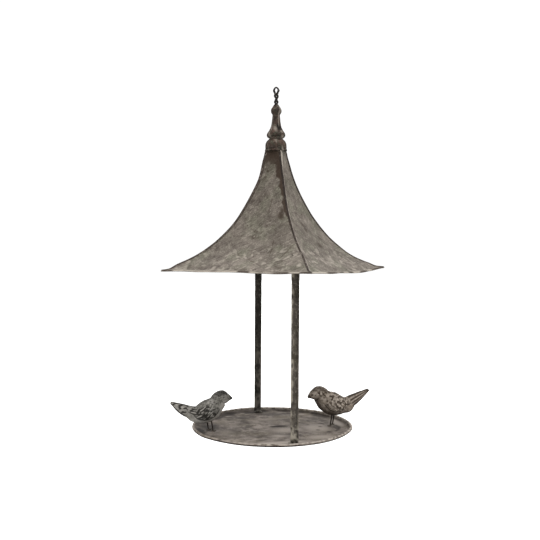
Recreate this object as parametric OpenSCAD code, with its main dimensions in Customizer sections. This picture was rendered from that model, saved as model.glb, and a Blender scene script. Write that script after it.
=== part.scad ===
// Hanging platform bird feeder: a concave four-sided sheet-metal roof, two flat-bar posts, a shallow
// round dish with two cast birds, and a finial whose tie rod hangs from a chain.
// Millimetres, Z up. X runs along the birds and Y along the posts, and the front is -Y.
// Heights in the modules are measured from the dish's underside. hung() lowers the whole feeder, so
// that the origin is inside the top link's crown, where the feeder hangs.

/* [Dish] */
// Outer radius of the dish, over its rolled rim
dish_r = 140; // [125:0.5:170]
// Thickness of the dish's sheet
dish_sheet = 1; // [0.8:0.1:1.4]
// Height of the rim wire's centre above the dish's underside
rim_h = 5; // [4.6:0.1:8]
// Radius of the wire inside the rolled rim
rim_wire_r = 1.4; // [1.2:0.1:1.8]
// Width of the sloping wall between the flat floor and the rim wire's centre
wall_run = 9; // [6:0.1:12]

/* [Frame] */
// Clearance between the posts' outer corners and the foot of the dish's wall
post_inset = 0.4; // [0.2:0.1:8]
// Width of the flat bar
bar_w = 12; // [8:0.5:16]
// Thickness of the flat bar
bar_t = 3; // [2:0.1:3.6]
// Length of each post's foot, bent inwards along the dish
foot_l = 15; // [14:0.5:22]
// Length of the cross bar's ends, turned down beside the posts
tab_l = 16; // [14:0.5:22]
// Radius of the rivets' shanks
rivet_r = 1.6; // [1.2:0.1:2]
// Radius of the rivets' heads
rivet_head_r = 3.2; // [2.8:0.1:4]
// Height of the rivets' heads
rivet_head_h = 1.6; // [1:0.1:2.2]

/* [Roof] */
// Height of the eave above the dish's underside
eave_h = 279; // [240:1:320]
// Distance from the axis to the eave's corners
eave_r = 201.5; // [185:0.5:225]
// Height of the roof, from the eave to its flat top
roof_h = 205; // [185:1:220]
// Distance from the axis to the corners of the roof's flat top
roof_top_r = 20.2; // [19.6:0.1:22]
// Radius of the curve that each hip follows
hip_curve_r = 249; // [230:1:400]
// Thickness of the roof's sheet
roof_sheet = 1; // [0.8:0.1:1.2]
// Width of the hem folded under along the eave
hem_w = 7; // [5:0.5:9]
// Width of each leg of the strips over the hips, along the eave
seam_w = 4; // [3:0.5:6]
// Thickness of the strips over the hips
seam_t = 0.8; // [0.6:0.1:1.2]
// Thickness of the plate at the roof's apex
apex_plate_t = 3; // [2:0.5:4]

/* [Finial] */
// Height of the bell-shaped cap
cap_h = 21.5; // [18:0.5:26]
// Radius of the cap's lip
cap_lip_r = 19.3; // [18.8:0.1:20]
// Height of the cap's lip
cap_lip_h = 3.2; // [2.4:0.1:5]
// Radius of the cap's dome
cap_dome_r = 18.4; // [17.6:0.1:18.6]
// Radius of the curve over the dome's shoulder
dome_curve_r = 12; // [8:0.5:14]
// Radius of the waist between the cap and the spindle
waist_r = 11.4; // [10.4:0.1:12]
// Radius of the spindle's ring
ring_r = 15.8; // [14.8:0.1:17]
// Radius of the curve round the ring's edge
ring_curve_r = 5.5; // [4:0.1:5.8]
// Height of the spindle, from the waist to the ball's tip
spindle_h = 59.5; // [56:0.5:64]
// Radius of the curve from the neck out to the ring
flare_r = 35; // [28:0.5:44]
// Radius of the neck where that curve begins
throat_r = 6.7; // [6.1:0.1:7.4]
// Radius of the neck where it meets the ball
neck_r = 6; // [5:0.1:6.4]
// Radius of the spindle's ball
ball_r = 8.7; // [8:0.1:9.4]
// Height of the ball's tip above its middle
tip_rise = 11.6; // [10:0.1:13]
// Radius of the ball's tip
tip_r = 3.3; // [3:0.1:4]

/* [Tie rod and chain] */
// Radius of the tie rod
rod_r = 2; // [1.6:0.1:2.2]
// Radius of the wire of the eye and of the chain's links
wire_r = 1.25; // [1:0.05:1.4]
// Radius of the eye, to the middle of its wire
eye_r = 2.9; // [2.85:0.05:3.2]
// Radius of the links' round ends, to the middle of their wire
link_r = 3.55; // [3.3:0.05:4.2]
// Length of a link between the middles of its two ends
link_l = 14.5; // [13:0.5:18]
// Distance across the flats of the nut under the cross bar
nut_flats = 7; // [6.6:0.1:8]
// Height of the nut
nut_h = 3.2; // [2.4:0.1:5]
// Radius of the washer
washer_r = 6; // [5:0.5:8]
// Thickness of the washer
washer_t = 1; // [0.8:0.1:1.6]
// Length of thread below the nut
thread_end = 3; // [1:0.5:6]

/* [Birds] */
// Length of the left bird, from beak to tail
bird_left_l = 107; // [96:1:112]
// Length of the right bird, from beak to tail
bird_right_l = 114; // [102:1:120]
// Distance of the left bird's feet from the axis
bird_left_x = 112.5; // [106:0.5:118]
// Distance of the right bird's feet from the axis
bird_right_x = 101; // [96:0.5:112]
// How far the left bird stands behind the middle of the dish
bird_left_y = 3; // [-5:0.5:8]
// How far the right bird stands in front of the middle of the dish
bird_right_y = 9; // [-5:0.5:14]
// Clear height of the left bird's belly above the dish
bird_left_leg = 13; // [10:0.5:18]
// Clear height of the right bird's belly above the dish
bird_right_leg = 17; // [10:0.5:20]
// Distance between the middles of a bird's feet
feet_gap = 12; // [9:0.5:14]
// How far a bird's near foot stands ahead of its other foot
stride = 6; // [0:0.5:8]
// Radius of the birds' legs
leg_r = 1.2; // [0.9:0.1:1.6]
// How far the legs lean forwards, in degrees
leg_lean = 10; // [0:1:14]
// Radius of the solder pad under each foot
pad_r = 3.2; // [2.6:0.1:4]
// Thickness of the solder pad
pad_h = 0.9; // [0.6:0.1:1.4]

/* [Fits] */
// Radial clearance of the rod, the rim wire and the legs in their holes; rivets and the nut have half
fit = 0.1; // [0.05:0.01:0.14]
// Clearance between the chain's links where they hang in each other
link_gap = 0.3; // [0.25:0.05:0.5]
// Solder film between a hip's seam and the panels under it
solder = 0.02; // [0.01:0.01:0.1]

/* [Hidden] */

// Dish: the roll is the sheet wrapped round its wire
rim_hole_r = rim_wire_r + fit;
rim_roll_r = rim_hole_r + dish_sheet;
rim_x = dish_r - rim_roll_r;
floor_r = rim_x - wall_run;
wall_foot_r = floor_r - dish_sheet / 2;

// Roof: each hip is an arc through the eave's corner and the top's corner
roof_steps = 28;
seam_end = 0.985;
chord = [roof_top_r - eave_r, roof_h];
chord_l = norm(chord);
sag = sqrt(hip_curve_r * hip_curve_r - chord_l * chord_l / 4);
hip_centre = [eave_r, 0] + chord / 2 + sag * [chord[1], -chord[0]] / chord_l;
start_angle = atan2(-hip_centre[1], eave_r - hip_centre[0]);
end_angle = atan2(roof_h - hip_centre[1], roof_top_r - hip_centre[0]);
turn = end_angle - start_angle;
apex_h = eave_h + roof_h;
hem_part = hem_w / (hip_curve_r * abs(turn) * PI / 180);

// Frame: the posts stand just inside the dish's wall, and they end just under the roof, where their
// outer corners come nearest to it
post_y = sqrt(pow(wall_foot_r - post_inset, 2) - pow(bar_w / 2, 2)) - bar_t / 2;
post_corner_r = post_y + (bar_t + bar_w) / 2;
post_top = eave_h + hip_height(post_corner_r) - sheet_drop(post_corner_r) - link_gap;
bar_bottom = post_top - bar_t;

// Finial and chain, from the apex upwards
waist_h = apex_h + cap_h;
tip_h = waist_h + spindle_h;
eye_h = tip_h + eye_r + 0.8 * wire_r;
hang_step = 2 * wire_r + link_gap;
lower_link_bottom = eye_h + eye_r - hang_step;
hanger_link_bottom = lower_link_bottom + link_l - hang_step;
hang_h = hanger_link_bottom + link_l - wire_r;

// Each row of a bird is one section along its back: forward, up, half height and half width, in
// millimetres for a bird of the stated length. Up is measured from the lowest point of the belly.
left_sections = [
    [-69.0, 38.6, 2.2, 4.0],
    [-52.8, 28.5, 8.4, 6.5],
    [-38.5, 21.6, 11.2, 9.0],
    [-26.5, 17.0, 15.2, 13.5],
    [-13.5, 18.6, 18.7, 17.0],
    [-0.5, 24.5, 19.5, 17.2],
    [9.0, 32.9, 15.7, 15.0],
    [15.0, 40.7, 14.7, 12.4],
    [20.5, 43.0, 13.8, 11.0],
    [27.5, 42.5, 9.4, 8.0],
    [33.0, 42.0, 5.0, 3.8],
    [37.5, 41.1, 1.2, 1.0]
];
right_sections = [
    [-71.0, 44.2, 2.1, 4.0],
    [-54.0, 33.9, 7.4, 6.5],
    [-40.0, 26.3, 10.3, 8.6],
    [-29.0, 21.0, 12.7, 12.5],
    [-16.0, 19.5, 18.4, 16.0],
    [-3.0, 22.1, 21.0, 17.4],
    [8.0, 27.6, 19.8, 16.2],
    [15.0, 33.8, 16.8, 13.8],
    [22.0, 40.8, 14.3, 11.8],
    [30.5, 39.8, 11.2, 8.8],
    [37.5, 37.7, 6.3, 4.4],
    [43.0, 34.9, 1.3, 1.2]
];
left_nominal = 107;
right_nominal = 114;
section_sides = 24;
section_steps = 3;

// Birds' wings: the row of sections at the shoulder, and how the groups of feathers follow each other
shoulder_row = 6;
feather_groups = 4;
feather_step = 2.6;
shoulder_bulge = 5;
feather_bulge = 4;

// Depth of the legs' sockets above the belly's lowest point, and how far the solder pads taper
socket_depth = 11;
pad_taper = 0.7;

// Height above the eave of a hip that is r away from the axis
function hip_height(r) = hip_centre[1] - sqrt(pow(hip_curve_r, 2) - pow(hip_centre[0] - r, 2));

// Upright thickness of the panels' sheet under a hip that is r away from the axis
function sheet_drop(r) =
    let (slope = (hip_centre[0] - r) / sqrt(pow(hip_curve_r, 2) - pow(hip_centre[0] - r, 2)))
    roof_sheet * sqrt(1 + 2 * slope * slope);

// Shares of the hip's length at which the panels and seams have a bend line. The seams stop short of the
// cap, and a panel goes on to the top.
function bend_lines(last) = concat(
    [0, hem_part],
    [for (i = [1 : roof_steps]) if (i / roof_steps > hem_part && i / roof_steps < seam_end) i / roof_steps],
    [seam_end],
    last > seam_end ? [last] : []
);

// A point of a panel's cross-section at share u of its length, raised by depth from its upper face
function panel_point(u, depth) =
    let (
        a = start_angle + u * turn,
        point = [(hip_centre[0] + hip_curve_r * cos(a)) / sqrt(2), hip_centre[1] + hip_curve_r * sin(a)],
        tangent = [sin(a) / sqrt(2), -cos(a)],
        normal = [tangent[1], -tangent[0]] / norm(tangent),
        outward = normal[0] < 0 ? -normal : normal
    )
    point + depth * outward;

// The six points round the seam over the hip along +X, at share u of its length: outer and inner face on
// the hip, and outer and inner edge of each leg
function seam_ring(u) =
    let (
        outer = panel_point(u, solder + seam_t),
        inner = panel_point(u, solder),
        leg = seam_w / sqrt(2),
        corners = [[outer, 0], [outer, -leg], [inner, -leg], [inner, 0], [inner, leg], [outer, leg]]
    )
    [for (c = corners) [c[0][0] * sqrt(2) - abs(c[1]), c[1], c[0][1]]];

// Catmull-Rom curve through four rows, at share t between the middle two
function between(a, b, c, d, t) =
    (2 * b + (c - a) * t + (2 * a - 5 * b + 4 * c - d) * t * t + (3 * b - a - 3 * c + d) * t * t * t) / 2;

// The bird's sections with section_steps - 1 more between each two rows
function fine_sections(rows) =
    let (n = len(rows))
    concat(
        [for (i = [0 : n - 2], j = [0 : section_steps - 1])
            between(rows[max(i - 1, 0)], rows[i], rows[i + 1], rows[min(i + 2, n - 1)], j / section_steps)],
        [rows[n - 1]]
    );

// Direction along the back at section i, as forward and up
function back_direction(rows, i) =
    let (
        a = rows[max(i - 1, 0)],
        b = rows[min(i + 1, len(rows) - 1)],
        d = [b[0] - a[0], b[1] - a[1]]
    )
    d / norm(d);

// The ring of points round one section
function section_ring(row, d) = [
    for (k = [0 : section_sides - 1])
        let (a = 360 * k / section_sides)
        [row[0] - d[1] * row[2] * sin(a), row[3] * cos(a), row[1] + d[0] * row[2] * sin(a)]
];

// Lowers the feeder from the bench, so that it hangs from the origin
module hung() {
    translate([0, 0, -hang_h]) children();
}

// One curved side of the roof, facing +X: sheet along its cross-section, with a hem folded under at the
// eave, cut to the width between its hips
module roof_panel() {
    lines = bend_lines(1);
    upper = [for (u = lines) panel_point(u, 0)];
    lower = [for (i = [len(lines) - 1 : -1 : 1]) panel_point(lines[i], -roof_sheet)];
    hem = [panel_point(hem_part, -2 * roof_sheet), panel_point(0, -2 * roof_sheet)];
    intersection() {
        rotate([90, 0, 0])
            linear_extrude(height = 2 * eave_r, center = true)
                polygon(concat(upper, lower, hem));
        translate([0, 0, -roof_h])
            linear_extrude(height = 3 * roof_h)
                polygon([[fit, 0], [eave_r + fit, eave_r], [eave_r + fit, -eave_r]]);
    }
}

// Folded strip over the hip that runs along +X, with a leg on the panel at each side of it
module hip_seam() {
    lines = bend_lines(seam_end);
    top = 6 * (len(lines) - 1);
    polyhedron(
        [for (u = lines) each seam_ring(u)],
        concat(
            [[3, 2, 1, 0], [5, 4, 3, 0]],
            [for (i = [0 : len(lines) - 2], k = [0 : 5])
                [6 * i + k, 6 * i + (k + 1) % 6, 6 * i + 6 + (k + 1) % 6, 6 * i + 6 + k]],
            [[top, top + 1, top + 2, top + 3], [top, top + 3, top + 4, top + 5]]
        )
    );
}

// Sets a roof panel or seam on the eave, turned to its side
module on_roof(angle) {
    hung() translate([0, 0, eave_h]) rotate([0, 0, angle]) children();
}

module roof_panel_front_left() {
    color("#8d857b") on_roof(225) roof_panel();
}

module roof_panel_front_right() {
    color("#8d857b") on_roof(315) roof_panel();
}

module roof_panel_rear_right() {
    color("#8d857b") on_roof(45) roof_panel();
}

module roof_panel_rear_left() {
    color("#8d857b") on_roof(135) roof_panel();
}

module hip_seam_front() {
    color("#4b443d") on_roof(270) hip_seam();
}

module hip_seam_right() {
    color("#4b443d") on_roof(0) hip_seam();
}

module hip_seam_rear() {
    color("#4b443d") on_roof(90) hip_seam();
}

module hip_seam_left() {
    color("#4b443d") on_roof(180) hip_seam();
}

// Square plate that closes the roof's top, with its hole for the tie rod
module apex_plate() {
    half = panel_point(1, -roof_sheet)[0] - fit;
    color("#6b635a") hung() translate([0, 0, apex_h - apex_plate_t]) rotate([0, 0, 45])
        difference() {
            translate([-half, -half, 0]) cube([2 * half, 2 * half, apex_plate_t]);
            translate([0, 0, -1]) cylinder(h = apex_plate_t + 2, r = rod_r + fit, $fn = 48);
        }
}

// Bell-shaped cap over the apex: rounded lip, short wall, domed shoulder and flat seat for the spindle
module finial_cap() {
    wall_top = cap_h - dome_curve_r;
    lip_r = cap_lip_h / 2;
    color("#4a4038") hung() translate([0, 0, apex_h])
        rotate_extrude($fn = 96)
            difference() {
                union() {
                    square([cap_lip_r - lip_r, cap_lip_h]);
                    translate([cap_lip_r - lip_r, lip_r]) circle(r = lip_r, $fn = 48);
                    square([cap_dome_r, wall_top]);
                    square([waist_r, cap_h]);
                    intersection() {
                        translate([cap_dome_r - dome_curve_r, wall_top]) circle(r = dome_curve_r, $fn = 96);
                        translate([0, wall_top]) square([cap_dome_r + 1, dome_curve_r]);
                    }
                }
                translate([-1, -1]) square([rod_r + fit + 1, cap_h + 2]);
            }
}

// Turned spindle: ring, flared neck and pointed ball
module finial_spindle() {
    ring_rise = 0.4;
    ring_band_h = 4;
    ring_mid = ring_curve_r + ring_rise;
    ball_mid = spindle_h - tip_rise;
    neck_top = ball_mid - sqrt(pow(ball_r, 2) - pow(neck_r, 2));
    flare_foot_r = ring_r - 0.6;
    flare_h = sqrt(pow(flare_r, 2) - pow(flare_r + throat_r - flare_foot_r, 2));
    throat_h = ring_mid + ring_band_h + flare_h;
    shoulder_angle = 25;
    color("#4a4038") hung() translate([0, 0, waist_h])
        rotate_extrude($fn = 96)
            difference() {
                union() {
                    square([waist_r, ring_mid]);
                    intersection() {
                        translate([ring_r - ring_curve_r, ring_mid]) circle(r = ring_curve_r, $fn = 96);
                        square([ring_r + 1, 2 * ring_mid]);
                    }
                    difference() {
                        translate([0, ring_mid]) square([flare_foot_r, throat_h - ring_mid]);
                        translate([throat_r + flare_r, throat_h]) circle(r = flare_r, $fn = 200);
                    }
                    polygon([
                        [0, ring_mid], [throat_r, throat_h], [neck_r, neck_top],
                        [neck_r, ball_mid], [0, ball_mid]
                    ]);
                    intersection() {
                        translate([0, ball_mid]) circle(r = ball_r, $fn = 96);
                        square([ball_r + 1, spindle_h]);
                    }
                    polygon([
                        [0, ball_mid],
                        [ball_r * cos(shoulder_angle), ball_mid + ball_r * sin(shoulder_angle)],
                        [tip_r, spindle_h], [0, spindle_h]
                    ]);
                }
                translate([-1, -1]) square([rod_r + fit + 1, spindle_h + 2]);
            }
}

// Rod from the eye down through the finial, the roof and the cross bar
module tie_rod() {
    rod_bottom = bar_bottom - washer_t - nut_h - thread_end;
    color("#332e29") hung() {
        translate([0, 0, rod_bottom]) cylinder(h = tip_h + wire_r - rod_bottom, r = rod_r, $fn = 48);
        translate([0, 0, eye_h]) rotate([90, 0, 0]) rotate_extrude($fn = 64)
            translate([eye_r, 0]) circle(r = wire_r, $fn = 32);
    }
}

module tie_rod_washer() {
    color("#5b544c") hung() translate([0, 0, bar_bottom - washer_t])
        difference() {
            cylinder(h = washer_t, r = washer_r, $fn = 64);
            translate([0, 0, -1]) cylinder(h = washer_t + 2, r = rod_r + fit, $fn = 48);
        }
}

module tie_rod_nut() {
    color("#5b544c") hung() translate([0, 0, bar_bottom - washer_t - nut_h])
        difference() {
            cylinder(h = nut_h, r = nut_flats / sqrt(3), $fn = 6);
            translate([0, 0, -1]) cylinder(h = nut_h + 2, r = rod_r + fit / 2, $fn = 48);
        }
}

// Oval chain link standing on the middle of its lower end, in the XZ plane
module chain_link() {
    rotate([90, 0, 0]) {
        translate([0, link_r]) rotate([0, 0, 180]) rotate_extrude(angle = 180, $fn = 64)
            translate([link_r, 0]) circle(r = wire_r, $fn = 32);
        translate([0, link_l - link_r]) rotate_extrude(angle = 180, $fn = 64)
            translate([link_r, 0]) circle(r = wire_r, $fn = 32);
    }
    for (side = [-1, 1])
        translate([side * link_r, 0, link_r]) cylinder(h = link_l - 2 * link_r, r = wire_r, $fn = 32);
}

module hanger_link() {
    color("#2b2622") hung() translate([0, 0, hanger_link_bottom]) chain_link();
}

module lower_link() {
    color("#2b2622") hung() translate([0, 0, lower_link_bottom]) rotate([0, 0, 90]) chain_link();
}

// Flat bar between the posts' tops, with its ends turned down
module cross_bar() {
    reach = post_y - bar_t / 2;
    color("#57504a") hung() difference() {
        translate([-bar_w / 2, 0, 0]) rotate([90, 0, 90]) linear_extrude(height = bar_w)
            polygon([
                [-reach, post_top], [-reach, post_top - tab_l], [bar_t - reach, post_top - tab_l],
                [bar_t - reach, bar_bottom], [reach - bar_t, bar_bottom],
                [reach - bar_t, post_top - tab_l], [reach, post_top - tab_l], [reach, post_top]
            ]);
        translate([0, 0, bar_bottom - 1]) cylinder(h = bar_t + 2, r = rod_r + fit, $fn = 48);
        for (side = [-1, 1]) across(side)
            cylinder(h = 4 * bar_t, r = rivet_r + fit / 2, center = true, $fn = 48);
    }
}

// The line of the rivet through a post and the cross bar, pointing outwards
module across(side) {
    translate([0, side * (post_y - bar_t / 2), (bar_bottom + post_top - tab_l) / 2])
        rotate([side * -90, 0, 0]) children();
}

// The line of the rivet through a post's foot and the dish, from the dish's underside upwards
module through_foot(side) {
    translate([0, side * (post_y + bar_t / 2 - foot_l + rivet_head_r), 0]) children();
}

// Rivet from z = 0 up to a domed head, which sits on the height grip
module rivet(grip) {
    dome_r = (rivet_head_r * rivet_head_r + rivet_head_h * rivet_head_h) / (2 * rivet_head_h);
    cylinder(h = grip, r = rivet_r, $fn = 48);
    intersection() {
        translate([0, 0, grip + rivet_head_h - dome_r]) sphere(r = dome_r, $fn = 64);
        translate([0, 0, grip]) cylinder(h = rivet_head_h, r = rivet_head_r, $fn = 48);
    }
}

module cross_bar_rivets() {
    color("#3c362f") hung() for (side = [-1, 1]) across(side) translate([0, 0, -bar_t]) rivet(2 * bar_t);
}

module post_foot_rivets() {
    color("#3c362f") hung() for (side = [-1, 1]) through_foot(side) rivet(dish_sheet + bar_t);
}

// Upright flat bar with its foot bent inwards
module post(side) {
    outer = post_y + bar_t / 2;
    hung() difference() {
        translate([-bar_w / 2, 0, 0]) rotate([90, 0, 90]) linear_extrude(height = bar_w)
            polygon([
                [side * outer, dish_sheet], [side * outer, post_top], [side * (outer - bar_t), post_top],
                [side * (outer - bar_t), dish_sheet + bar_t], [side * (outer - foot_l), dish_sheet + bar_t],
                [side * (outer - foot_l), dish_sheet]
            ]);
        through_foot(side) cylinder(h = 4 * bar_t, r = rivet_r + fit / 2, $fn = 48);
        across(side) cylinder(h = 4 * bar_t, r = rivet_r + fit / 2, center = true, $fn = 48);
    }
}

module post_front() {
    color("#5f574f") post(-1);
}

module post_rear() {
    color("#5f574f") post(1);
}

// Shallow tray: flat floor, sloping wall and a rim rolled round its wire. The wall runs into the roll's
// inner side, and the roll is open under its outer side, where the sheet's edge ends.
module dish() {
    wall_outside = rim_hole_r + 0.8 * dish_sheet;
    wall_inside = rim_hole_r + 0.2 * dish_sheet;
    slot_h = 4 * rim_roll_r;
    color("#8f877d") hung() difference() {
        rotate_extrude($fn = 180) {
            square([floor_r, dish_sheet]);
            polygon([
                [wall_foot_r, 0], [floor_r + dish_sheet / 2, 0],
                [rim_x + wall_outside * cos(240), rim_h + wall_outside * sin(240)],
                [rim_x + wall_inside * cos(195), rim_h + wall_inside * sin(195)],
                [wall_foot_r, dish_sheet]
            ]);
            translate([rim_x, rim_h]) difference() {
                circle(r = rim_roll_r, $fn = 64);
                circle(r = rim_hole_r, $fn = 64);
                polygon([[0, 0], [-0.05 * slot_h, -slot_h], [0.4 * slot_h, -slot_h]]);
            }
        }
        for (side = [-1, 1]) through_foot(side)
            translate([0, 0, -1]) cylinder(h = dish_sheet + 2, r = rivet_r + fit / 2, $fn = 48);
    }
}

module dish_rim_wire() {
    color("#6d655c") hung() rotate_extrude($fn = 180)
        translate([rim_x, rim_h]) circle(r = rim_wire_r, $fn = 48);
}

// A bird's body from tail to beak, with its belly's lowest point at z = 0
module bird_body(rows) {
    fine = fine_sections(rows);
    n = len(fine);
    m = section_sides;
    points = [for (i = [0 : n - 1]) each section_ring(fine[i], back_direction(fine, i))];
    sides = [
        for (i = [0 : n - 2], k = [0 : m - 1], half = [0, 1])
            half == 0 ? [i * m + k, (i + 1) * m + k, (i + 1) * m + (k + 1) % m]
                : [i * m + k, (i + 1) * m + (k + 1) % m, i * m + (k + 1) % m]
    ];
    tail = [for (k = [0 : m - 1]) k];
    beak = [for (k = [m - 1 : -1 : 0]) (n - 1) * m + k];
    polyhedron(points = points, faces = concat(sides, [tail, beak]), convexity = 6);
}

// Folded wing on one side: overlapping groups of feathers, from the shoulder back to the tail. The upper
// groups reach one section farther back than the lower ones.
module bird_wing(rows, side) {
    shoulder = rows[shoulder_row];
    for (k = [0 : feather_groups - 1]) {
        tip = rows[k < feather_groups / 2 ? 2 : 3];
        drop = feather_step * k;
        front_up = shoulder[1] + 1 - 2.2 * drop;
        front = [shoulder[0] - shoulder_bulge - 2 * k, side * (shoulder[3] - 0.4), front_up];
        back = [tip[0] + 1.5 * k, side * (tip[3] - 0.2), tip[1] + shoulder_bulge - drop];
        hull() {
            translate(front) rotate([0, 35, 0]) scale([1.6, 0.42, 1]) sphere(r = shoulder_bulge, $fn = 16);
            translate(back) rotate([0, 10, 0]) scale([1.4, 0.35, 0.7]) sphere(r = feather_bulge, $fn = 16);
        }
    }
}

// Cast bird facing +X, with sockets for its legs. The foot at the side called near is the one ahead.
module cast_bird(rows, nominal, length, leg, near) {
    difference() {
        translate([0, 0, leg]) scale(length / nominal) {
            bird_body(rows);
            for (side = [-1, 1]) bird_wing(rows, side);
        }
        bird_legs_at(near) cylinder(h = leg_reach(leg) + fit, r = leg_r + fit, $fn = 32);
    }
}

// Length of a leg, from the foot to the end of its socket in the belly
function leg_reach(leg) = leg + socket_depth;

// The two lines of a bird's legs, from its feet upwards
module bird_legs_at(near) {
    for (side = [-1, 1])
        translate([side * near * stride / 2, side * feet_gap / 2, 0]) rotate([0, -leg_lean, 0]) children();
}

// Wire legs standing on solder pads, with the dish's floor at z = 0
module bird_legs(leg, near) {
    reach = leg_reach(leg);
    intersection() {
        bird_legs_at(near) translate([0, 0, -leg_r]) cylinder(h = reach + leg_r, r = leg_r, $fn = 32);
        translate([-reach, -feet_gap, 0]) cube([2 * reach, 2 * feet_gap, reach]);
    }
    for (side = [-1, 1])
        translate([side * near * stride / 2, side * feet_gap / 2, 0])
            cylinder(h = pad_h, r1 = pad_r, r2 = pad_r * pad_taper, $fn = 32);
}

module at_left_bird() {
    hung() translate([-bird_left_x, bird_left_y, dish_sheet]) children();
}

module at_right_bird() {
    hung() translate([bird_right_x, -bird_right_y, dish_sheet]) rotate([0, 0, 180]) children();
}

module bird_left() {
    color("#6f685f") at_left_bird()
        cast_bird(left_sections, left_nominal, bird_left_l, bird_left_leg, -1);
}

module bird_right() {
    color("#7a7268") at_right_bird()
        cast_bird(right_sections, right_nominal, bird_right_l, bird_right_leg, 1);
}

module bird_left_legs() {
    color("#3f3932") at_left_bird() bird_legs(bird_left_leg, -1);
}

module bird_right_legs() {
    color("#3f3932") at_right_bird() bird_legs(bird_right_leg, 1);
}

hanger_link();
lower_link();
tie_rod();
tie_rod_washer();
tie_rod_nut();
finial_spindle();
finial_cap();
apex_plate();
roof_panel_front_left();
roof_panel_front_right();
roof_panel_rear_right();
roof_panel_rear_left();
hip_seam_front();
hip_seam_right();
hip_seam_rear();
hip_seam_left();
cross_bar();
cross_bar_rivets();
post_front();
post_rear();
post_foot_rivets();
dish();
dish_rim_wire();
bird_left();
bird_right();
bird_left_legs();
bird_right_legs();
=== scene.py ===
"""Visual model of a hanging bird feeder: pagoda roof, finial, chain, posts, dish and two cast birds.

Lengths in the classes are millimetres, and heights count from the dish's underside. X runs along the line
of the two birds and Y along the line of the two posts, with the front at -Y. `hung` turns such points into
Blender's metres, with the origin where the feeder hangs.
"""

import logging
import math
from collections.abc import Sequence
from dataclasses import dataclass, field
from enum import Enum

import bmesh
import bpy
import numpy as np
from mathutils import Matrix, Vector, noise


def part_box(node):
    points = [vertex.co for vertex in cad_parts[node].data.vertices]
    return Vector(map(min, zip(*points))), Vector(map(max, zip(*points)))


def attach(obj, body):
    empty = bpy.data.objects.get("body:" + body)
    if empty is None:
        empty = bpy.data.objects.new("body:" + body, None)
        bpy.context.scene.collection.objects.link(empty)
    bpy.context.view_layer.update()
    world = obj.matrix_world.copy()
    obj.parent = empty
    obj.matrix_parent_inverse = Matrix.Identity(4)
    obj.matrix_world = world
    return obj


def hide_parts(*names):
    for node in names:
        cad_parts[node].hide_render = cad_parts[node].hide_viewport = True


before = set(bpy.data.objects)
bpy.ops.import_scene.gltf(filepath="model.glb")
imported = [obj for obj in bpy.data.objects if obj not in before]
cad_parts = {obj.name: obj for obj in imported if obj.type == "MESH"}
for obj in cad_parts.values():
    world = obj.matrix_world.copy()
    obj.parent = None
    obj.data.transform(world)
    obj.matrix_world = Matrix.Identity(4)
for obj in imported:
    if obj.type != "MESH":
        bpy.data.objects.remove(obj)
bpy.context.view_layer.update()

log = logging.getLogger("feeder")

MM = 0.001
DISH_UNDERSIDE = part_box("dish")[0].z


class Body(Enum):
    """The bodies that swing on each other."""

    TOP_LINK = "hanger_link"
    LOWER_LINK = "lower_link"
    FEEDER = "feeder"


class Mask(Enum):
    """Amounts from 0 to 1 that a piece's vertices carry for its finish: stain with painted shade, and wear
    with painted highlights.
    """

    GRIME = "grime"
    WORN = "worn"


class RoofSide(Enum):
    """The four curved sides of the roof, by the direction they face, in degrees from +X."""

    FRONT_LEFT = 225
    FRONT_RIGHT = 315
    REAR_RIGHT = 45
    REAR_LEFT = 135


class Hip(Enum):
    """The four hips of the roof, by their direction in degrees from +X."""

    FRONT = 270
    RIGHT = 0
    REAR = 90
    LEFT = 180


# Small helpers for numbers

def linear(code: str) -> tuple[float, float, float, float]:
    """Turns an sRGB hex value into a linear colour.

    Args:
        code: The colour as #rrggbb.

    Returns:
        Linear red, green and blue, and an alpha of 1.
    """
    values = [int(code[i:i + 2], 16) / 255 for i in (1, 3, 5)]
    red, green, blue = (v / 12.92 if v <= 0.04045 else ((v + 0.055) / 1.055) ** 2.4 for v in values)
    return red, green, blue, 1.0


def hung(points: np.ndarray) -> np.ndarray:
    """Turns millimetres above the dish's underside into metres below the hanging point.

    Args:
        points: Rows of x, y and height.

    Returns:
        Rows of x, y and z in Blender's metres.
    """
    return np.asarray(points, float) * MM + np.array([0.0, 0.0, DISH_UNDERSIDE])


def ease(low: float, high: float, value: np.ndarray) -> np.ndarray:
    """Rises smoothly from 0 at low to 1 at high."""
    t = np.clip((np.asarray(value, float) - low) / (high - low), 0.0, 1.0)
    return t * t * (3 - 2 * t)


def bump(value: np.ndarray, middle: float, spread: float) -> np.ndarray:
    """A bell-shaped hump of height 1."""
    return np.exp(-(((np.asarray(value, float) - middle) / spread) ** 2))


def cloud(points: np.ndarray, size: float, seed: float = 0.0) -> np.ndarray:
    """Smooth noise between about -1 and 1.

    Args:
        points: Rows of x, y and z in millimetres.
        size: Size of the noise's patches, in millimetres.
        seed: Moves the noise, so that two uses of it differ.

    Returns:
        One value for each row.
    """
    shift = Vector((seed * 17.3, seed * 5.1, seed * 9.7))
    return np.array([noise.noise(Vector(p) / size + shift) for p in points])


def smooth_rows(rows: Sequence[Sequence[float]], steps: int) -> np.ndarray:
    """Puts a Catmull-Rom curve through rows of numbers.

    Args:
        rows: The rows that the curve goes through.
        steps: How many steps it takes from each row to the next.

    Returns:
        The curve's rows.
    """
    rows = np.asarray(rows, float)
    out = []
    for i in range(len(rows) - 1):
        a, b, c, d = rows[max(i - 1, 0)], rows[i], rows[i + 1], rows[min(i + 2, len(rows) - 1)]
        for t in np.arange(steps) / steps:
            out.append((2 * b + (c - a) * t + (2 * a - 5 * b + 4 * c - d) * t**2
                        + (3 * b - a - 3 * c + d) * t**3) / 2)
    out.append(rows[-1])
    return np.array(out)


# Meshes

# A mesh's points, and its faces as tuples of point numbers
Shape = tuple[np.ndarray, list]


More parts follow.
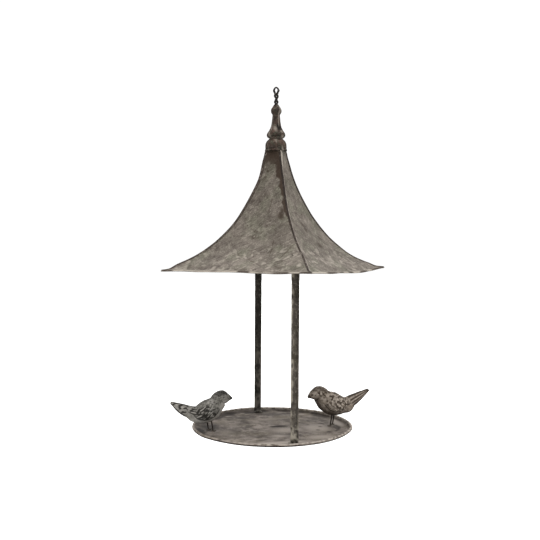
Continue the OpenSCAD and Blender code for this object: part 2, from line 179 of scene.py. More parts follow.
def grid_faces(rows: int, columns: int, wrap_rows: bool, wrap_columns: bool) -> list:
    """The quads of a grid of vertices that are numbered row by row.

    Args:
        rows: Number of rows.
        columns: Number of vertices in each row.
        wrap_rows: Whether the last row joins the first.
        wrap_columns: Whether each row's end joins its start.

    Returns:
        Tuples of four vertex numbers.
    """
    faces = []
    for i in range(rows if wrap_rows else rows - 1):
        for j in range(columns if wrap_columns else columns - 1):
            a, b = i * columns, ((i + 1) % rows) * columns
            k = (j + 1) % columns
            faces.append((a + j, a + k, b + k, b + j))
    return faces


def capped_faces(rings: int, sides: int) -> list:
    """The faces of a row of rings of vertices, closed at both ends.

    Args:
        rings: Number of rings.
        sides: Number of vertices in each ring.

    Returns:
        Tuples of vertex numbers.
    """
    caps = [tuple(range(sides - 1, -1, -1)), tuple(range((rings - 1) * sides, rings * sides))]
    return grid_faces(rings, sides, False, True) + caps


def spun(points: np.ndarray, angle: float | np.ndarray) -> np.ndarray:
    """Turns points about the Z axis.

    Args:
        points: Rows of x, y and z.
        angle: The turn in radians, one for all rows or one for each.

    Returns:
        The turned points.
    """
    x, y, z = np.asarray(points, float).T
    c, s = np.cos(angle), np.sin(angle)
    return np.column_stack([x * c - y * s, x * s + y * c, z])


def lathe(profile: np.ndarray, sides: int) -> Shape:
    """Turns a closed profile about the Z axis.

    Args:
        profile: Rows of radius and height, round a ring-shaped solid.
        sides: Number of vertices round the axis.

    Returns:
        The points and the faces.
    """
    turn = np.linspace(0, 2 * math.pi, sides, endpoint=False)
    points = [(r * math.cos(a), r * math.sin(a), z) for r, z in profile for a in turn]
    return np.array(points), grid_faces(len(profile), sides, True, True)


def tube(path: np.ndarray, radii: Sequence[float], sides: int, closed: bool = False) -> Shape:
    """A round tube along a path.

    Args:
        path: The points of its middle line.
        radii: Its radius at each of them.
        sides: Number of vertices round it.
        closed: Whether the path's end joins its start.

    Returns:
        The points and the faces, with both ends closed.
    """
    path = np.asarray(path, float)
    count = len(path)
    points = []
    side = None
    for i in range(count):
        before = path[i - 1] if closed or i else path[0]
        after = path[(i + 1) % count] if closed else path[min(i + 1, count - 1)]
        along = (after - before) / np.linalg.norm(after - before)
        if side is None:
            side = np.cross(along, (0, 1, 0) if abs(along[1]) < 0.9 else (1, 0, 0))
        side = side - along * (side @ along)
        side = side / np.linalg.norm(side)
        other = np.cross(along, side)
        for k in range(sides):
            a = 2 * math.pi * k / sides
            points.append(path[i] + radii[i] * (math.cos(a) * side + math.sin(a) * other))
    faces = grid_faces(count, sides, True, True) if closed else capped_faces(count, sides)
    return np.array(points), faces


def joined(parts: Sequence[Shape]) -> Shape:
    """Puts several lots of points and faces into one.

    Args:
        parts: The lots, each as points and faces.

    Returns:
        All the points and faces.
    """
    points, faces, start = [], [], 0
    for part_points, part_faces in parts:
        points.append(part_points)
        faces += [tuple(i + start for i in f) for f in part_faces]
        start += len(part_points)
    return np.vstack(points), faces


# Materials

def add_node(tree: bpy.types.NodeTree, kind: str, settings: dict | None = None,
             links: dict | None = None) -> bpy.types.Node:
    """Adds a node to a material.

    Args:
        tree: The material's node tree.
        kind: Blender's name for the type of node.
        settings: The node's own properties by name, its inputs' values by name or number, and under
            "stops" the places and greys of a colour ramp.
        links: The sockets that feed its inputs, by the input's name or number.

    Returns:
        The node.
    """
    node = tree.nodes.new(kind)
    for key, value in (settings or {}).items():
        if key == "stops":
            ramp = node.color_ramp
            while len(ramp.elements) < len(value):
                ramp.elements.new(0.5)
            for element, (place, grey) in zip(ramp.elements, value):
                element.position = place
                element.color = (grey, grey, grey, 1.0)
        elif isinstance(key, str) and hasattr(node, key):
            setattr(node, key, value)
        else:
            node.inputs[key].default_value = value
    for key, socket in (links or {}).items():
        tree.links.new(socket, node.inputs[key])
    return node


def blank_material(name: str) -> bpy.types.Material:
    """Makes a material with an empty node tree.

    Args:
        name: The material's name.

    Returns:
        The material.
    """
    made = bpy.data.materials.new(name)
    made.use_nodes = True
    made.node_tree.nodes.clear()
    return made


# The socket that says how much of a tone is laid over what is there, and the tone as a hex value
Layer = tuple[bpy.types.NodeSocket, str]


@dataclass(frozen=True)
class Patina:
    """A matt, aged metal surface: washes, flecks, brown stain in the hollows and rubbed high spots.

    The first six fields after the name are colours: the wash where it is thin, as it mostly lies and where
    it is thick, the stain in the hollows, which also serves as painted shade, the rubbed high spots, which
    also serve as painted highlights, and a tint that drifts over all. Fields that end in _mm are the
    patterns' real sizes on the object. The grit of such a wash is a few tenths of a millimetre wide, which
    is finer than a pixel, so the grain is drawn about 2 mm wide. The wash covers the metal: metallic stays
    near 0, IOR at the 1.5 of paint, and roughness starts from the 0.7 of matt paint. Gloss is the specular
    level, low as on a dusty wash. The rest are amounts from 0 to 1.
    """

    name: str
    light: str
    base: str
    shade: str
    stain: str
    worn: str
    tint: str
    cloud_mm: float = 55.0
    mottle_mm: float = 9.0
    fleck_mm: float = 3.4
    grain_mm: float = 1.9
    stroke_mm: tuple[float, float] = (20.0, 1.7)
    mottle: float = 0.6
    tinted: float = 0.5
    flecks: float = 0.55
    brushed: float = 0.4
    pits: float = 0.35
    streaks: float = 0.0
    pock_mm: float = 0.0
    metallic: float = 0.1
    roughness: float = 0.72
    gloss: float = 0.12
    bump_mm: float = 0.25

    def material(self) -> bpy.types.Material:
        """Builds the finish: a patchy wash, the layers over it, and a fine relief.

        Returns:
            The material.
        """
        made = blank_material(self.name)
        tree = made.node_tree
        place = add_node(tree, "ShaderNodeTexCoord").outputs["Object"]
        mm = add_node(tree, "ShaderNodeMapping", {"Scale": (1 / MM,) * 3},
                      {"Vector": place}).outputs["Vector"]
        elsewhere = add_node(tree, "ShaderNodeMapping", {"Location": (31.0, 17.0, 5.0)},
                             {"Vector": mm}).outputs["Vector"]
        clouds = add_node(tree, "ShaderNodeTexNoise", {"Scale": 1 / self.cloud_mm, "Detail": 3.0},
                          {"Vector": mm}).outputs["Fac"]
        mottles = add_node(tree, "ShaderNodeTexNoise",
                           {"Scale": 1 / self.mottle_mm, "Detail": 6.0, "Roughness": 0.62},
                           {"Vector": mm}).outputs["Fac"]
        grain = add_node(tree, "ShaderNodeTexNoise",
                         {"Scale": 1 / self.grain_mm, "Detail": 3.0, "Roughness": 0.6},
                         {"Vector": mm}).outputs["Fac"]
        patchy = add_node(tree, "ShaderNodeValToRGB", {"stops": ((0.36, 0.0), (0.64, 1.0))},
                          {"Fac": clouds}).outputs["Color"]
        colour = add_node(tree, "ShaderNodeMixRGB",
                          {"Color1": linear(self.base), "Color2": linear(self.light)},
                          {"Fac": patchy}).outputs["Color"]

        layers = self.blotches(tree, mottles, grain) + self.drifts(tree, elsewhere, mottles)
        if self.streaks:
            layers += self.strokes(tree, mm)
        if self.pock_mm:
            layers += self.pocks(tree, elsewhere, patchy)
        layers += self.masked(tree, mottles)
        for amount, tone in layers:
            colour = add_node(tree, "ShaderNodeMixRGB", {"Color2": linear(tone)},
                              {"Fac": amount, "Color1": colour}).outputs["Color"]

        rough = add_node(tree, "ShaderNodeMapRange",
                         {"To Min": self.roughness - 0.08, "To Max": self.roughness + 0.12},
                         {"Value": mottles})
        heights = add_node(tree, "ShaderNodeMath", {"operation": "MULTIPLY_ADD", 1: 0.5},
                           {0: grain, 2: mottles})
        relief = add_node(tree, "ShaderNodeBump", {"Strength": 0.7, "Distance": self.bump_mm * MM},
                          {"Height": heights.outputs["Value"]})
        shader = add_node(tree, "ShaderNodeBsdfPrincipled",
                          {"Metallic": self.metallic, "Specular IOR Level": self.gloss},
                          {"Base Color": colour, "Roughness": rough.outputs["Result"],
                           "Normal": relief.outputs["Normal"]})
        add_node(tree, "ShaderNodeOutputMaterial", links={"Surface": shader.outputs["BSDF"]})
        return made

    def blotches(self, tree: bpy.types.NodeTree, mottles: bpy.types.NodeSocket,
                 grain: bpy.types.NodeSocket) -> list[Layer]:
        """Thick places in the wash, and specks of stain in its grain.

        Args:
            tree: The material's node tree.
            mottles: The noise of the mottling.
            grain: The noise of the grain.

        Returns:
            The layers.
        """
        thick = add_node(tree, "ShaderNodeValToRGB", {"stops": ((0.40, 0.0), (0.68, self.mottle))},
                         {"Fac": mottles})
        specks = add_node(tree, "ShaderNodeValToRGB", {"stops": ((0.61, 0.0), (0.68, self.pits))},
                          {"Fac": grain})
        return [(thick.outputs["Color"], self.shade), (specks.outputs["Color"], self.stain)]

    def drifts(self, tree: bpy.types.NodeTree, place: bpy.types.NodeSocket,
               mottles: bpy.types.NodeSocket) -> list[Layer]:
        """The drifting tint, and dark and light flecks that gather where the mottling is strong.

        Args:
            tree: The material's node tree.
            place: The place on the object in millimetres, moved away from the other patterns.
            mottles: The noise of the mottling.

        Returns:
            The layers.
        """
        broad = add_node(tree, "ShaderNodeTexNoise", {"Scale": 1.7 / self.cloud_mm, "Detail": 4.0},
                         {"Vector": place})
        tinted = add_node(tree, "ShaderNodeValToRGB", {"stops": ((0.48, 0.0), (0.66, self.tinted))},
                          {"Fac": broad.outputs["Fac"]})
        fine = add_node(tree, "ShaderNodeTexNoise",
                        {"Scale": 1 / self.fleck_mm, "Detail": 4.0, "Roughness": 0.7}, {"Vector": place})
        clustered = add_node(tree, "ShaderNodeMath", {"operation": "MULTIPLY_ADD", 1: 0.6},
                             {0: mottles, 2: fine.outputs["Fac"]})
        layers = [(tinted.outputs["Color"], self.tint)]
        for none, full, most, tone in ((0.87, 0.94, self.flecks, self.shade),
                                       (0.73, 0.66, self.brushed, self.worn)):
            flecked = add_node(tree, "ShaderNodeMapRange",
                               {"From Min": none, "From Max": full, "To Max": most},
                               {"Value": clustered.outputs["Value"]})
            layers.append((flecked.outputs["Result"], tone))
        return layers

    def strokes(self, tree: bpy.types.NodeTree, place: bpy.types.NodeSocket) -> list[Layer]:
        """Strokes left by wiping the wash back, up and to the right across the front.

        A stroke is some 20 mm long. Real ones are finer than a pixel, so they are drawn 1.7 mm wide.

        Args:
            tree: The material's node tree.
            place: The place on the object in millimetres.

        Returns:
            The layers.
        """
        length, width = self.stroke_mm
        tilt = tuple(math.radians(v) for v in (0, -27, -14))
        turned = add_node(tree, "ShaderNodeMapping",
                          {"vector_type": "TEXTURE", "Rotation": tilt, "Scale": (length, width, width)},
                          {"Vector": place})
        wiped = add_node(tree, "ShaderNodeTexNoise", {"Scale": 1.0, "Detail": 2.0},
                         {"Vector": turned.outputs["Vector"]})
        layers = []
        for stops, tone in ((((0.58, 0.0), (0.65, self.streaks * 1.3)), self.shade),
                            (((0.33, self.streaks * 0.5), (0.42, 0.0)), self.worn)):
            drawn = add_node(tree, "ShaderNodeValToRGB", {"stops": stops}, {"Fac": wiped.outputs["Fac"]})
            layers.append((drawn.outputs["Color"], tone))
        return layers

    def pocks(self, tree: bpy.types.NodeTree, place: bpy.types.NodeSocket,
              patchy: bpy.types.NodeSocket) -> list[Layer]:
        """Round dots of stain where the wash is thin, about pock_mm apart.

        Args:
            tree: The material's node tree.
            place: The place on the object in millimetres.
            patchy: Where the wash is thin.

        Returns:
            The layer.
        """
        cells = add_node(tree, "ShaderNodeTexVoronoi", {"Scale": 1 / self.pock_mm}, {"Vector": place})
        dots = add_node(tree, "ShaderNodeMapRange", {"From Min": 0.14, "From Max": 0.07},
                        {"Value": cells.outputs["Distance"]})
        some = add_node(tree, "ShaderNodeMath", {"operation": "MULTIPLY"},
                        {0: dots.outputs["Result"], 1: patchy})
        return [(some.outputs["Value"], self.stain)]

    def masked(self, tree: bpy.types.NodeTree, mottles: bpy.types.NodeSocket) -> list[Layer]:
        """Stain with painted shade, and rubbing with painted highlights, where the piece's vertices carry
        them, with edges broken by the mottling.

        Args:
            tree: The material's node tree.
            mottles: The noise of the mottling.

        Returns:
            The layers.
        """
        ragged = add_node(tree, "ShaderNodeMath", {"operation": "MULTIPLY_ADD", 1: 1.1, 2: -0.55},
                          {0: mottles})
        layers = []
        for mask, tone in ((Mask.GRIME, self.stain), (Mask.WORN, self.worn)):
            amount = add_node(tree, "ShaderNodeAttribute", {"attribute_name": mask.value})
            broken = add_node(tree, "ShaderNodeMath", {"operation": "ADD"},
                              {0: amount.outputs["Fac"], 1: ragged.outputs["Value"]})
            gated = add_node(tree, "ShaderNodeMapRange",
                             {"interpolation_type": "SMOOTHSTEP", "From Min": 0.12, "From Max": 0.82},
                             {"Value": broken.outputs["Value"]})
            shown = add_node(tree, "ShaderNodeMath", {"operation": "MULTIPLY"},
                             {0: gated.outputs["Result"], 1: amount.outputs["Fac"]})
            stretched = add_node(tree, "ShaderNodeMath", {"operation": "POWER", 1: 0.6},
                                 {0: shown.outputs["Value"]})
            layers.append((stretched.outputs["Value"], tone))
        return layers


@dataclass(frozen=True)
class PlainSurface:
    """A plain studio surface, such as the floor's seamless paper.

    The fibre is drawn 2.5 mm wide, coarser than in real paper, so that it shows.
    """

    name: str
    colour: str
    roughness: float
    fibre_mm: float = 2.5
    bump_mm: float = 0.2

    def material(self) -> bpy.types.Material:
        """Builds the surface.

        Returns:
            The material.
        """
        made = blank_material(self.name)
        tree = made.node_tree
        place = add_node(tree, "ShaderNodeTexCoord").outputs["Object"]
        fibre = add_node(tree, "ShaderNodeTexNoise", {"Scale": 1 / (self.fibre_mm * MM), "Detail": 2.0},
                         {"Vector": place})
        relief = add_node(tree, "ShaderNodeBump", {"Strength": 0.05, "Distance": self.bump_mm * MM},
                          {"Height": fibre.outputs["Fac"]})
        shader = add_node(tree, "ShaderNodeBsdfPrincipled",
                          {"Base Color": linear(self.colour), "Roughness": self.roughness},
                          {"Normal": relief.outputs["Normal"]})
        add_node(tree, "ShaderNodeOutputMaterial", links={"Surface": shader.outputs["BSDF"]})
        return made


# Sheet steel with a zinc-grey wash, brushed on and wiped back by hand. It looks matt and mottled, with
# fine strokes, brown specks and dark stain left in the hollows.
ZINC_ROOF = Patina("zinc_washed_roof_sheet", light="#5d564f", base="#4d4740", shade="#2c2621",
                   stain="#281e16", worn="#8c857b", tint="#4b4a3e", cloud_mm=48, mottle_mm=12, mottle=0.5,
                   fleck_mm=2.1, flecks=0.65, brushed=0.28, tinted=0.6, pits=0.6, streaks=0.4, pock_mm=13,
                   bump_mm=0.5)
# The same wash on the tray, painted lighter than on the roof as painted light in the roof's shade, in
# broader and softer blots
ZINC_DISH_PAINTED_LIGHTER = Patina("zinc_washed_dish_sheet_painted_lighter", light="#6f6760", base="#544d47", shade="#352e29",
                   stain="#1e1915", worn="#877f77", tint="#514a3d", cloud_mm=60, mottle_mm=16, mottle=0.75,
                   fleck_mm=2.4, flecks=0.6, brushed=0.3, pock_mm=17)
# Folded steel strip, soldered down: it keeps the dark wash and is rubbed bright along its ridge, but the
# front one has a painted highlight down one side instead
DARK_SEAM = Patina("soldered_seam", light="#3d352f", base="#2c2520", shade="#201a15", stain="#1a1410",
                   worn="#7d756d", tint="#2e281f", mottle=0.5)
# Rolled mild-steel flat bar under a thin dark wash: nearly black, and rubbed grey along its edges
FLAT_BAR = Patina("washed_flat_bar", light="#45403a", base="#2f2b26", shade="#1f1b17", stain="#14110d",
                  worn="#7a7469", tint="#302c20", cloud_mm=30, mottle_mm=7, fleck_mm=2.4)
# The same bar painted darker, as painted shade of the roof over the rear post
REAR_BAR_PAINTED_SHADE = Patina("washed_flat_bar_rear_painted_shade", light="#2a2722", base="#1e1c18", shade="#13110e",
                  stain="#0d0b0a", worn="#5b564f", tint="#1f1d17", cloud_mm=30, mottle_mm=7)
# Sand-cast iron, washed dark brown with greenish and warm patches: dull, and grey where it is rubbed
CAST_FINIAL = Patina("sand_cast_finial", light="#44362f", base="#2a2420", shade="#171411",
                     stain="#0e0c0a", worn="#6d665e", tint="#32332a", cloud_mm=11, mottle_mm=5,
                     fleck_mm=2.4, tinted=0.85, brushed=0.3, metallic=0.0, gloss=0.04, bump_mm=0.4)
# Sand-cast iron with a cool grey wash: pale on the breast, nearly black between the feathers
CAST_LEFT_BIRD = Patina("sand_cast_bird_left", light="#7b7873", base="#65625c", shade="#3b3935",
                        stain="#1f1d1a", worn="#8d8983", tint="#504e46", cloud_mm=20, mottle_mm=5,
                        mottle=0.4, fleck_mm=2.2, flecks=0.4, brushed=0.25, bump_mm=0.3)
# The same casting with a warm brown wash and a rougher, pitted skin
CAST_RIGHT_BIRD = Patina("sand_cast_bird_right", light="#7a7168", base="#685f56", shade="#433a32",
                         stain="#271f18", worn="#948b81", tint="#594f42", cloud_mm=16, mottle_mm=6,
                         mottle=0.5, fleck_mm=2.8, flecks=0.45, brushed=0.35, bump_mm=0.35)
# Drawn steel wire, rivets and nuts under a dark wash: dull brown-grey
DARK_FIXING = Patina("dark_steel_fixing", light="#3c362f", base="#2c2721", shade="#1e1a16",
                     stain="#14100e", worn="#686159", tint="#2a261d", cloud_mm=12, mottle_mm=4)
# Blackened steel wire: half metallic and smoother than the washes, so that it glints a little
BLACK_WIRE = Patina("blackened_wire", light="#211e1b", base="#161412", shade="#0d0c0a", stain="#080706",
                    worn="#433f38", tint="#191611", cloud_mm=10, mottle_mm=3, flecks=0.3, brushed=0.15,
                    metallic=0.5, roughness=0.5)
# Uncoated white paper: an even, matt ground
PALE_PAPER = PlainSurface("seamless_paper", "#dcdcdb", 0.9)


@dataclass
class Workshop:
    """Makes the pieces, dresses them and puts them on their bodies."""

    finishes: dict = field(default_factory=dict)

    def finish(self, look: Patina | PlainSurface) -> bpy.types.Material:
        """Builds each finish once.

        Args:
            look: The finish.

        Returns:
            Its material.
        """
        if look.name not in self.finishes:
            self.finishes[look.name] = look.material()
        return self.finishes[look.name]

    def piece(self, name: str, shape: Shape, look: Patina, body: Body, slot: str, stands_for: Sequence[str],
              masks: dict | None = None, sharp: float = 38.0) -> bpy.types.Object:
        """Makes one piece from points and faces.

        Args:
            name: The piece's name.
            shape: Its points, in millimetres above the dish's underside, and its faces.
            look: Its finish.
            body: The body that it moves with.
            slot: The record's material slot; not used.
            stands_for: The CAD nodes that it is shown instead of.
            masks: One value for each point, for each mask that the finish reads.
            sharp: Edges that turn by more than these degrees stay crisp.

        Returns:
            The object.
        """
        points, faces = shape
        mesh = bpy.data.meshes.new(name)
        mesh.from_pydata(hung(points).tolist(), [], faces)
        for mask, values in (masks or {}).items():
            layer = mesh.attributes.new(mask.value, "FLOAT", "POINT")
            layer.data.foreach_set("value", np.clip(values, 0, 1).astype(np.float32))
        work = bmesh.new()
        work.from_mesh(mesh)
        bmesh.ops.recalc_face_normals(work, faces=work.faces[:])
        for face in work.faces:
            face.smooth = True
        work.to_mesh(mesh)
        work.free()
        mesh.set_sharp_from_angle(angle=math.radians(sharp))
        mesh.materials.append(self.finish(look))
        made = bpy.data.objects.new(name, mesh)
        bpy.context.scene.collection.objects.link(made)
        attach(made, body.value)
        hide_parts(*stands_for)
        log.info("%s: %d points, instead of %s", name, len(points), ", ".join(stands_for))
        return made

    def dress(self, node: str, look: Patina, bevel: float = 0.0) -> None:
        """Gives a CAD node its finish and, where it has plain edges, a slight bevel.

        Args:
            node: The CAD node's name.
            look: Its finish.
            bevel: The bevel's width in millimetres, or 0 for none.
        """
        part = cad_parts[node]
        part.data.materials.clear()
        part.data.materials.append(self.finish(look))
        if bevel:
            # Joins vertices that lie in one place, so that the bevel finds shared edges
            weld = part.modifiers.new("join_edges", "WELD")
            weld.merge_threshold = 0.01 * MM
            edge = part.modifiers.new("worn_edges", "BEVEL")
            edge.width = bevel * MM
            edge.segments = 2
            edge.limit_method = "ANGLE"
            edge.angle_limit = math.radians(45)
        log.info("%s: dressed as %s", node, look.name)


@dataclass(frozen=True)
class Mark:
    """A stain or rubbed patch on a side of the roof, at a height above the eave and a share of its width."""

    height: float
    across: float
    tall: float
    wide: float
    amount: float

    def on(self, height: np.ndarray, lateral: np.ndarray, half: np.ndarray) -> np.ndarray:
        """How much of the mark shows at each point.

        Args:
            height: The points' heights above the eave.
            lateral: Their distances from the side's middle line.
            half: The side's half width at their heights.

        Returns:
            Amounts from 0 to 1.
        """
        away = (lateral - self.across * half) / self.wide
        return self.amount * np.exp(-(away**2) - ((height - self.height) / self.tall) ** 2)


@dataclass(frozen=True)
class Scratch:
    """A line scraped on a side of the roof, between two places given as height and share of its width."""

    start: tuple[float, float]
    end: tuple[float, float]
    wide: float
    amount: float

    def on(self, height: np.ndarray, lateral: np.ndarray, half: np.ndarray) -> np.ndarray:
        """How much of the scratch shows at each point.

        Args:
            height: The points' heights above the eave.
            lateral: Their distances from the side's middle line.
            half: The side's half width at their heights.

        Returns:
            Amounts from 0 to 1.
        """
        order = np.argsort(height)
        ends = [np.array([share * np.interp(level, height[order], half[order]), level])
                for level, share in (self.start, self.end)]
        line = ends[1] - ends[0]
        away = np.column_stack([lateral, height]) - ends[0]
        along = np.clip(away @ line / (line @ line), 0, 1)
        distance = np.linalg.norm(away - along[:, None] * line, axis=1)
        return self.amount * np.exp(-((distance / self.wide) ** 2))


@dataclass
class Roof:
    """Four curved sheets, hemmed along the eave, with a soldered seam over each hip.

    Fold is half the outline of a seam: places across it, and heights over the sheet in shares of the
    seam's own height, less one.
    """

    shop: Workshop
    eave_height: float = 279.0
    eave_corner: float = 201.5
    rise: float = 205.0
    top_corner: float = 20.2
    curve_radius: float = 249.0
    sheet: float = 1.0
    hem: float = 7.0
    fold: tuple = ((0.0, 0.35), (1.0, 0.25), (2.2, 0.12), (3.2, 0.0), (3.8, -0.3), (4.0, -0.75))
    seam_height: float = 0.8
    corner_gap: float = 0.1
    rows: int = 150
    columns: int = 160
    eave_bends: tuple = ((0, -201, 2.6, 42), (201, 0, 3.2, 34), (-201, 0, 1.4, 34), (0, 201, 2.0, 40),
                         (121, -81, -2.4, 42), (-95, -106, 0.5, 40), (96, 105, -1.2, 36),
                         (-110, 90, -1.0, 42), (-196, 0, -2.7, 26))

    def __post_init__(self) -> None:
        """Finds the circle that the hips follow."""
        chord = np.array([self.top_corner - self.eave_corner, self.rise])
        length = np.linalg.norm(chord)
        reach = math.sqrt(self.curve_radius**2 - length**2 / 4)
        self.centre = (np.array([self.eave_corner, 0]) + chord / 2
                       + reach * np.array([chord[1], -chord[0]]) / length)
        self.start = math.atan2(-self.centre[1], self.eave_corner - self.centre[0])
        self.turn = (math.atan2(self.rise - self.centre[1], self.top_corner - self.centre[0]) - self.start)
        self.hip_length = self.curve_radius * abs(self.turn)

    def section(self, share: float, depth: float) -> tuple[float, float]:
        """A point of a side's cross-section.

        Args:
            share: How far up the roof it is, from 0 at the eave to 1 at the top.
            depth: How far it lies above the sheet's upper face, across the sheet.

        Returns:
            Its distance from the axis and its height above the eave.
        """
        a = self.start + share * self.turn
        x = (self.centre[0] + self.curve_radius * math.cos(a)) / math.sqrt(2)
        z = self.centre[1] + self.curve_radius * math.sin(a)
        tangent = np.array([math.sin(a) / math.sqrt(2), -math.cos(a)])
        normal = np.array([tangent[1], -tangent[0]]) / np.linalg.norm(tangent)
        if normal[0] < 0:
            normal = -normal
        return x + depth * normal[0], z + depth * normal[1]

    def hand_made(self, points: np.ndarray) -> np.ndarray:
        """Twists the roof a little, lifts its corners and waves its sheet, as a hand-made one is.

        Each of eave_bends is a place, how far the sheet is bent up or down there, and how widely.

        Args:
            points: Rows of x, y and height above the dish's underside.

        Returns:
            The moved points.
        """
        points = np.array(points, float)
        height = points[:, 2] - self.eave_height
        twist = np.radians(0.4 + 2.5 * ease(0, 30, height) + 4.0 * ease(90, 200, height))
        x, y, _ = spun(points, twist).T
        out = np.abs(points[:, 0]) + np.abs(points[:, 1])
        lift = 1.6 * bump(out, 52, 14) - 1.2 * bump(out, 132, 38) - 2.0 * bump(out, 186, 9)
        for at_x, at_y, amount, spread in self.eave_bends:
            away = (points[:, 0] - at_x) ** 2 + (points[:, 1] - at_y) ** 2
            lift = lift + amount * np.exp(-away / spread**2)
        waves = cloud(points, 62, 1) * 1.1 + cloud(points, 24, 2) * 0.35
        lean = waves * ease(0, 12, height) * ease(200, 185, height)
        reach = np.maximum(np.hypot(x, y), 1)
        aside = (1.4 + 0.6 * ease(-60, 60, x)) * ease(195, 150, height)
        tab = 2.2 * bump(np.hypot(points[:, 0] - 201, points[:, 1]), 0, 13)
        points[:, 0] = x + lean * x / reach * 0.7 + aside + tab
        points[:, 1] = y + lean * y / reach * 0.7
        points[:, 2] += lift + lean * 0.5 + cloud(points, 30, 3) * 0.5 * ease(14, 0, height)
        return points

    def side_profile(self) -> list[tuple[float, float]]:
        """The outline of a side's cross-section: down its face, round the hem and up its underside.

        Returns:
            Pairs of share up the roof and depth.
        """
        fold = self.sheet / self.hip_length
        up = np.linspace(fold, 1, self.rows)
        face = [(u, 0.0) for u in up[::-1]]
        bend = [(fold * (1 - math.cos(a)), self.sheet * (math.sin(a) - 1))
                for a in np.radians((60, 30, 0, -30, -60))]
        hem_end = self.hem / self.hip_length
        under = [(u, -2 * self.sheet) for u in np.linspace(fold, hem_end, 4)]
        back = [(u, -self.sheet) for u in np.linspace(hem_end, 1, self.rows - 4)]
        return face + bend + under + back

    def marks(self, side: RoofSide) -> tuple[tuple[Mark | Scratch, ...], tuple[Mark, ...]]:
        """The stains and rubbed patches of one side; its broad dark marks near the top are partly painted
        shade.

        Args:
            side: The side of the roof.

        Returns:
            Its stains and its rubbed patches.
        """
        if side is RoofSide.FRONT_LEFT:
            stains_and_shade = (
                Mark(199, 0.0, 23, 40, 0.95), Mark(178, 0.7, 14, 10, 0.8), Mark(158, -0.53, 6, 3, 0.6),
                Mark(91, 0.69, 9, 8, 0.85), Mark(100, 0.75, 8, 6, 0.75), Mark(56, -0.08, 4, 5, 0.8),
                Mark(57, -0.3, 2.0, 34, 0.5), Mark(66, -0.05, 5, 18, 0.3), Mark(33, 0.74, 7, 3, 0.4),
                Scratch((41.5, 0.85), (25.6, 0.62), 1.0, 0.9), Scratch((51, 0.45), (16, 0.37), 0.9, 0.7),
                Scratch((70, -0.3), (62, 0.1), 0.9, 0.6), Scratch((30, -0.35), (24, -0.1), 0.9, 0.6),
                Scratch((120, 0.3), (98, 0.18), 0.9, 0.6), Scratch((20, 0.05), (11, 0.3), 0.9, 0.6),
                Mark(125, -0.1, 9, 12, 0.3), Mark(78, 0.3, 12, 14, 0.3), Mark(4, 0.05, 4, 22, 0.5),
                Mark(6, -0.62, 5, 20, 0.35), Mark(9, 0.6, 4, 12, 0.45), Mark(30, -0.8, 8, 9, 0.35),
            )
            rubbed = (Mark(57, -0.08, 2, 2, 0.8), Mark(95, 0.45, 9, 10, 0.25))
        elif side is RoofSide.FRONT_RIGHT:
            stains_and_shade = (
                Mark(77, -0.23, 6, 6, 0.75), Mark(67, -0.2, 6, 6, 0.7), Mark(43, 0.06, 6, 12, 0.6),
                Scratch((96, -0.3), (84, 0.1), 0.9, 0.6), Scratch((60, 0.3), (48, 0.55), 0.9, 0.6),
                Scratch((30, -0.6), (22, -0.35), 0.9, 0.6), Scratch((130, 0.2), (112, 0.45), 0.9, 0.5),
                Mark(20, 0.83, 6, 12, 0.45), Mark(110, 0.4, 10, 6, 0.35), Mark(30, 0.5, 5, 10, 0.3),
                Mark(52, 0.35, 9, 6, 0.3), Mark(5, -0.2, 4, 16, 0.3),
            )
            rubbed = (Mark(186, 0.0, 14, 8, 0.4), Mark(60, 0.6, 20, 8, 0.2))
        else:
            stains_and_shade = (
                Mark(190, 0.0, 22, 40, 0.9), Mark(150, 0.4, 14, 6, 0.5), Mark(92, -0.5, 10, 12, 0.5),
                Mark(60, 0.3, 6, 18, 0.45), Mark(38, -0.2, 9, 9, 0.45), Mark(12, 0.65, 5, 16, 0.4),
            )
            rubbed = (Mark(120, 0.1, 12, 10, 0.25), Mark(70, -0.1, 9, 14, 0.25))
        return stains_and_shade, rubbed

    def build_side(self, side: RoofSide) -> None:
        """Builds one curved side.

        Args:
            side: Which of the four.
        """
        rows = [self.section(u, d) for u, d in self.side_profile()]
        across = np.linspace(-1, 1, self.columns)
        local = np.array([(x, s * (x - self.corner_gap), z) for x, z in rows for s in across])
        points = spun(local, math.radians(side.value)) + np.array([0, 0, self.eave_height])
        faces = grid_faces(len(rows), self.columns, True, False)
        for column in (0, self.columns - 1):
            ends = [i * self.columns + column for i in range(len(rows))]
            low, high = 0, len(rows) - 1
            while high - low > 2:
                faces.append((ends[low], ends[low + 1], ends[high - 1], ends[high]))
                low, high = low + 1, high - 1
            if high - low == 2:
                faces.append((ends[low], ends[low + 1], ends[high]))
        self.shop.piece(f"roof_sheet_{side.name.lower()}", (self.hand_made(points), faces), ZINC_ROOF,
                        Body.FEEDER, "roof_sheet", (f"roof_panel_{side.name.lower()}",),
                        self.side_masks(side, local, points))

    def side_masks(self, side: RoofSide, local: np.ndarray, points: np.ndarray) -> dict:
        """Where one side is stained or painted with shade, and where it is rubbed or painted with
        highlights.

        Args:
            side: Which of the four.
            local: Its points as they lie when it faces +X.
            points: Its points in their place, before they are bent by hand.

        Returns:
            The two masks.
        """
        height, lateral, half = local[:, 2], local[:, 1], local[:, 0]
        near_hip = half - np.abs(lateral)
        stains_and_shade, rubbed = self.marks(side)
        grime = 0.5 * np.exp(-near_hip / 2.5)
        worn = np.zeros(len(points))
        for mark in stains_and_shade:
            grime = np.maximum(grime, mark.on(height, lateral, half))
        for mark in rubbed:
            worn = np.maximum(worn, mark.on(height, lateral, half))
        ragged = cloud(points, 9, 40)
        if side is RoofSide.FRONT_LEFT:
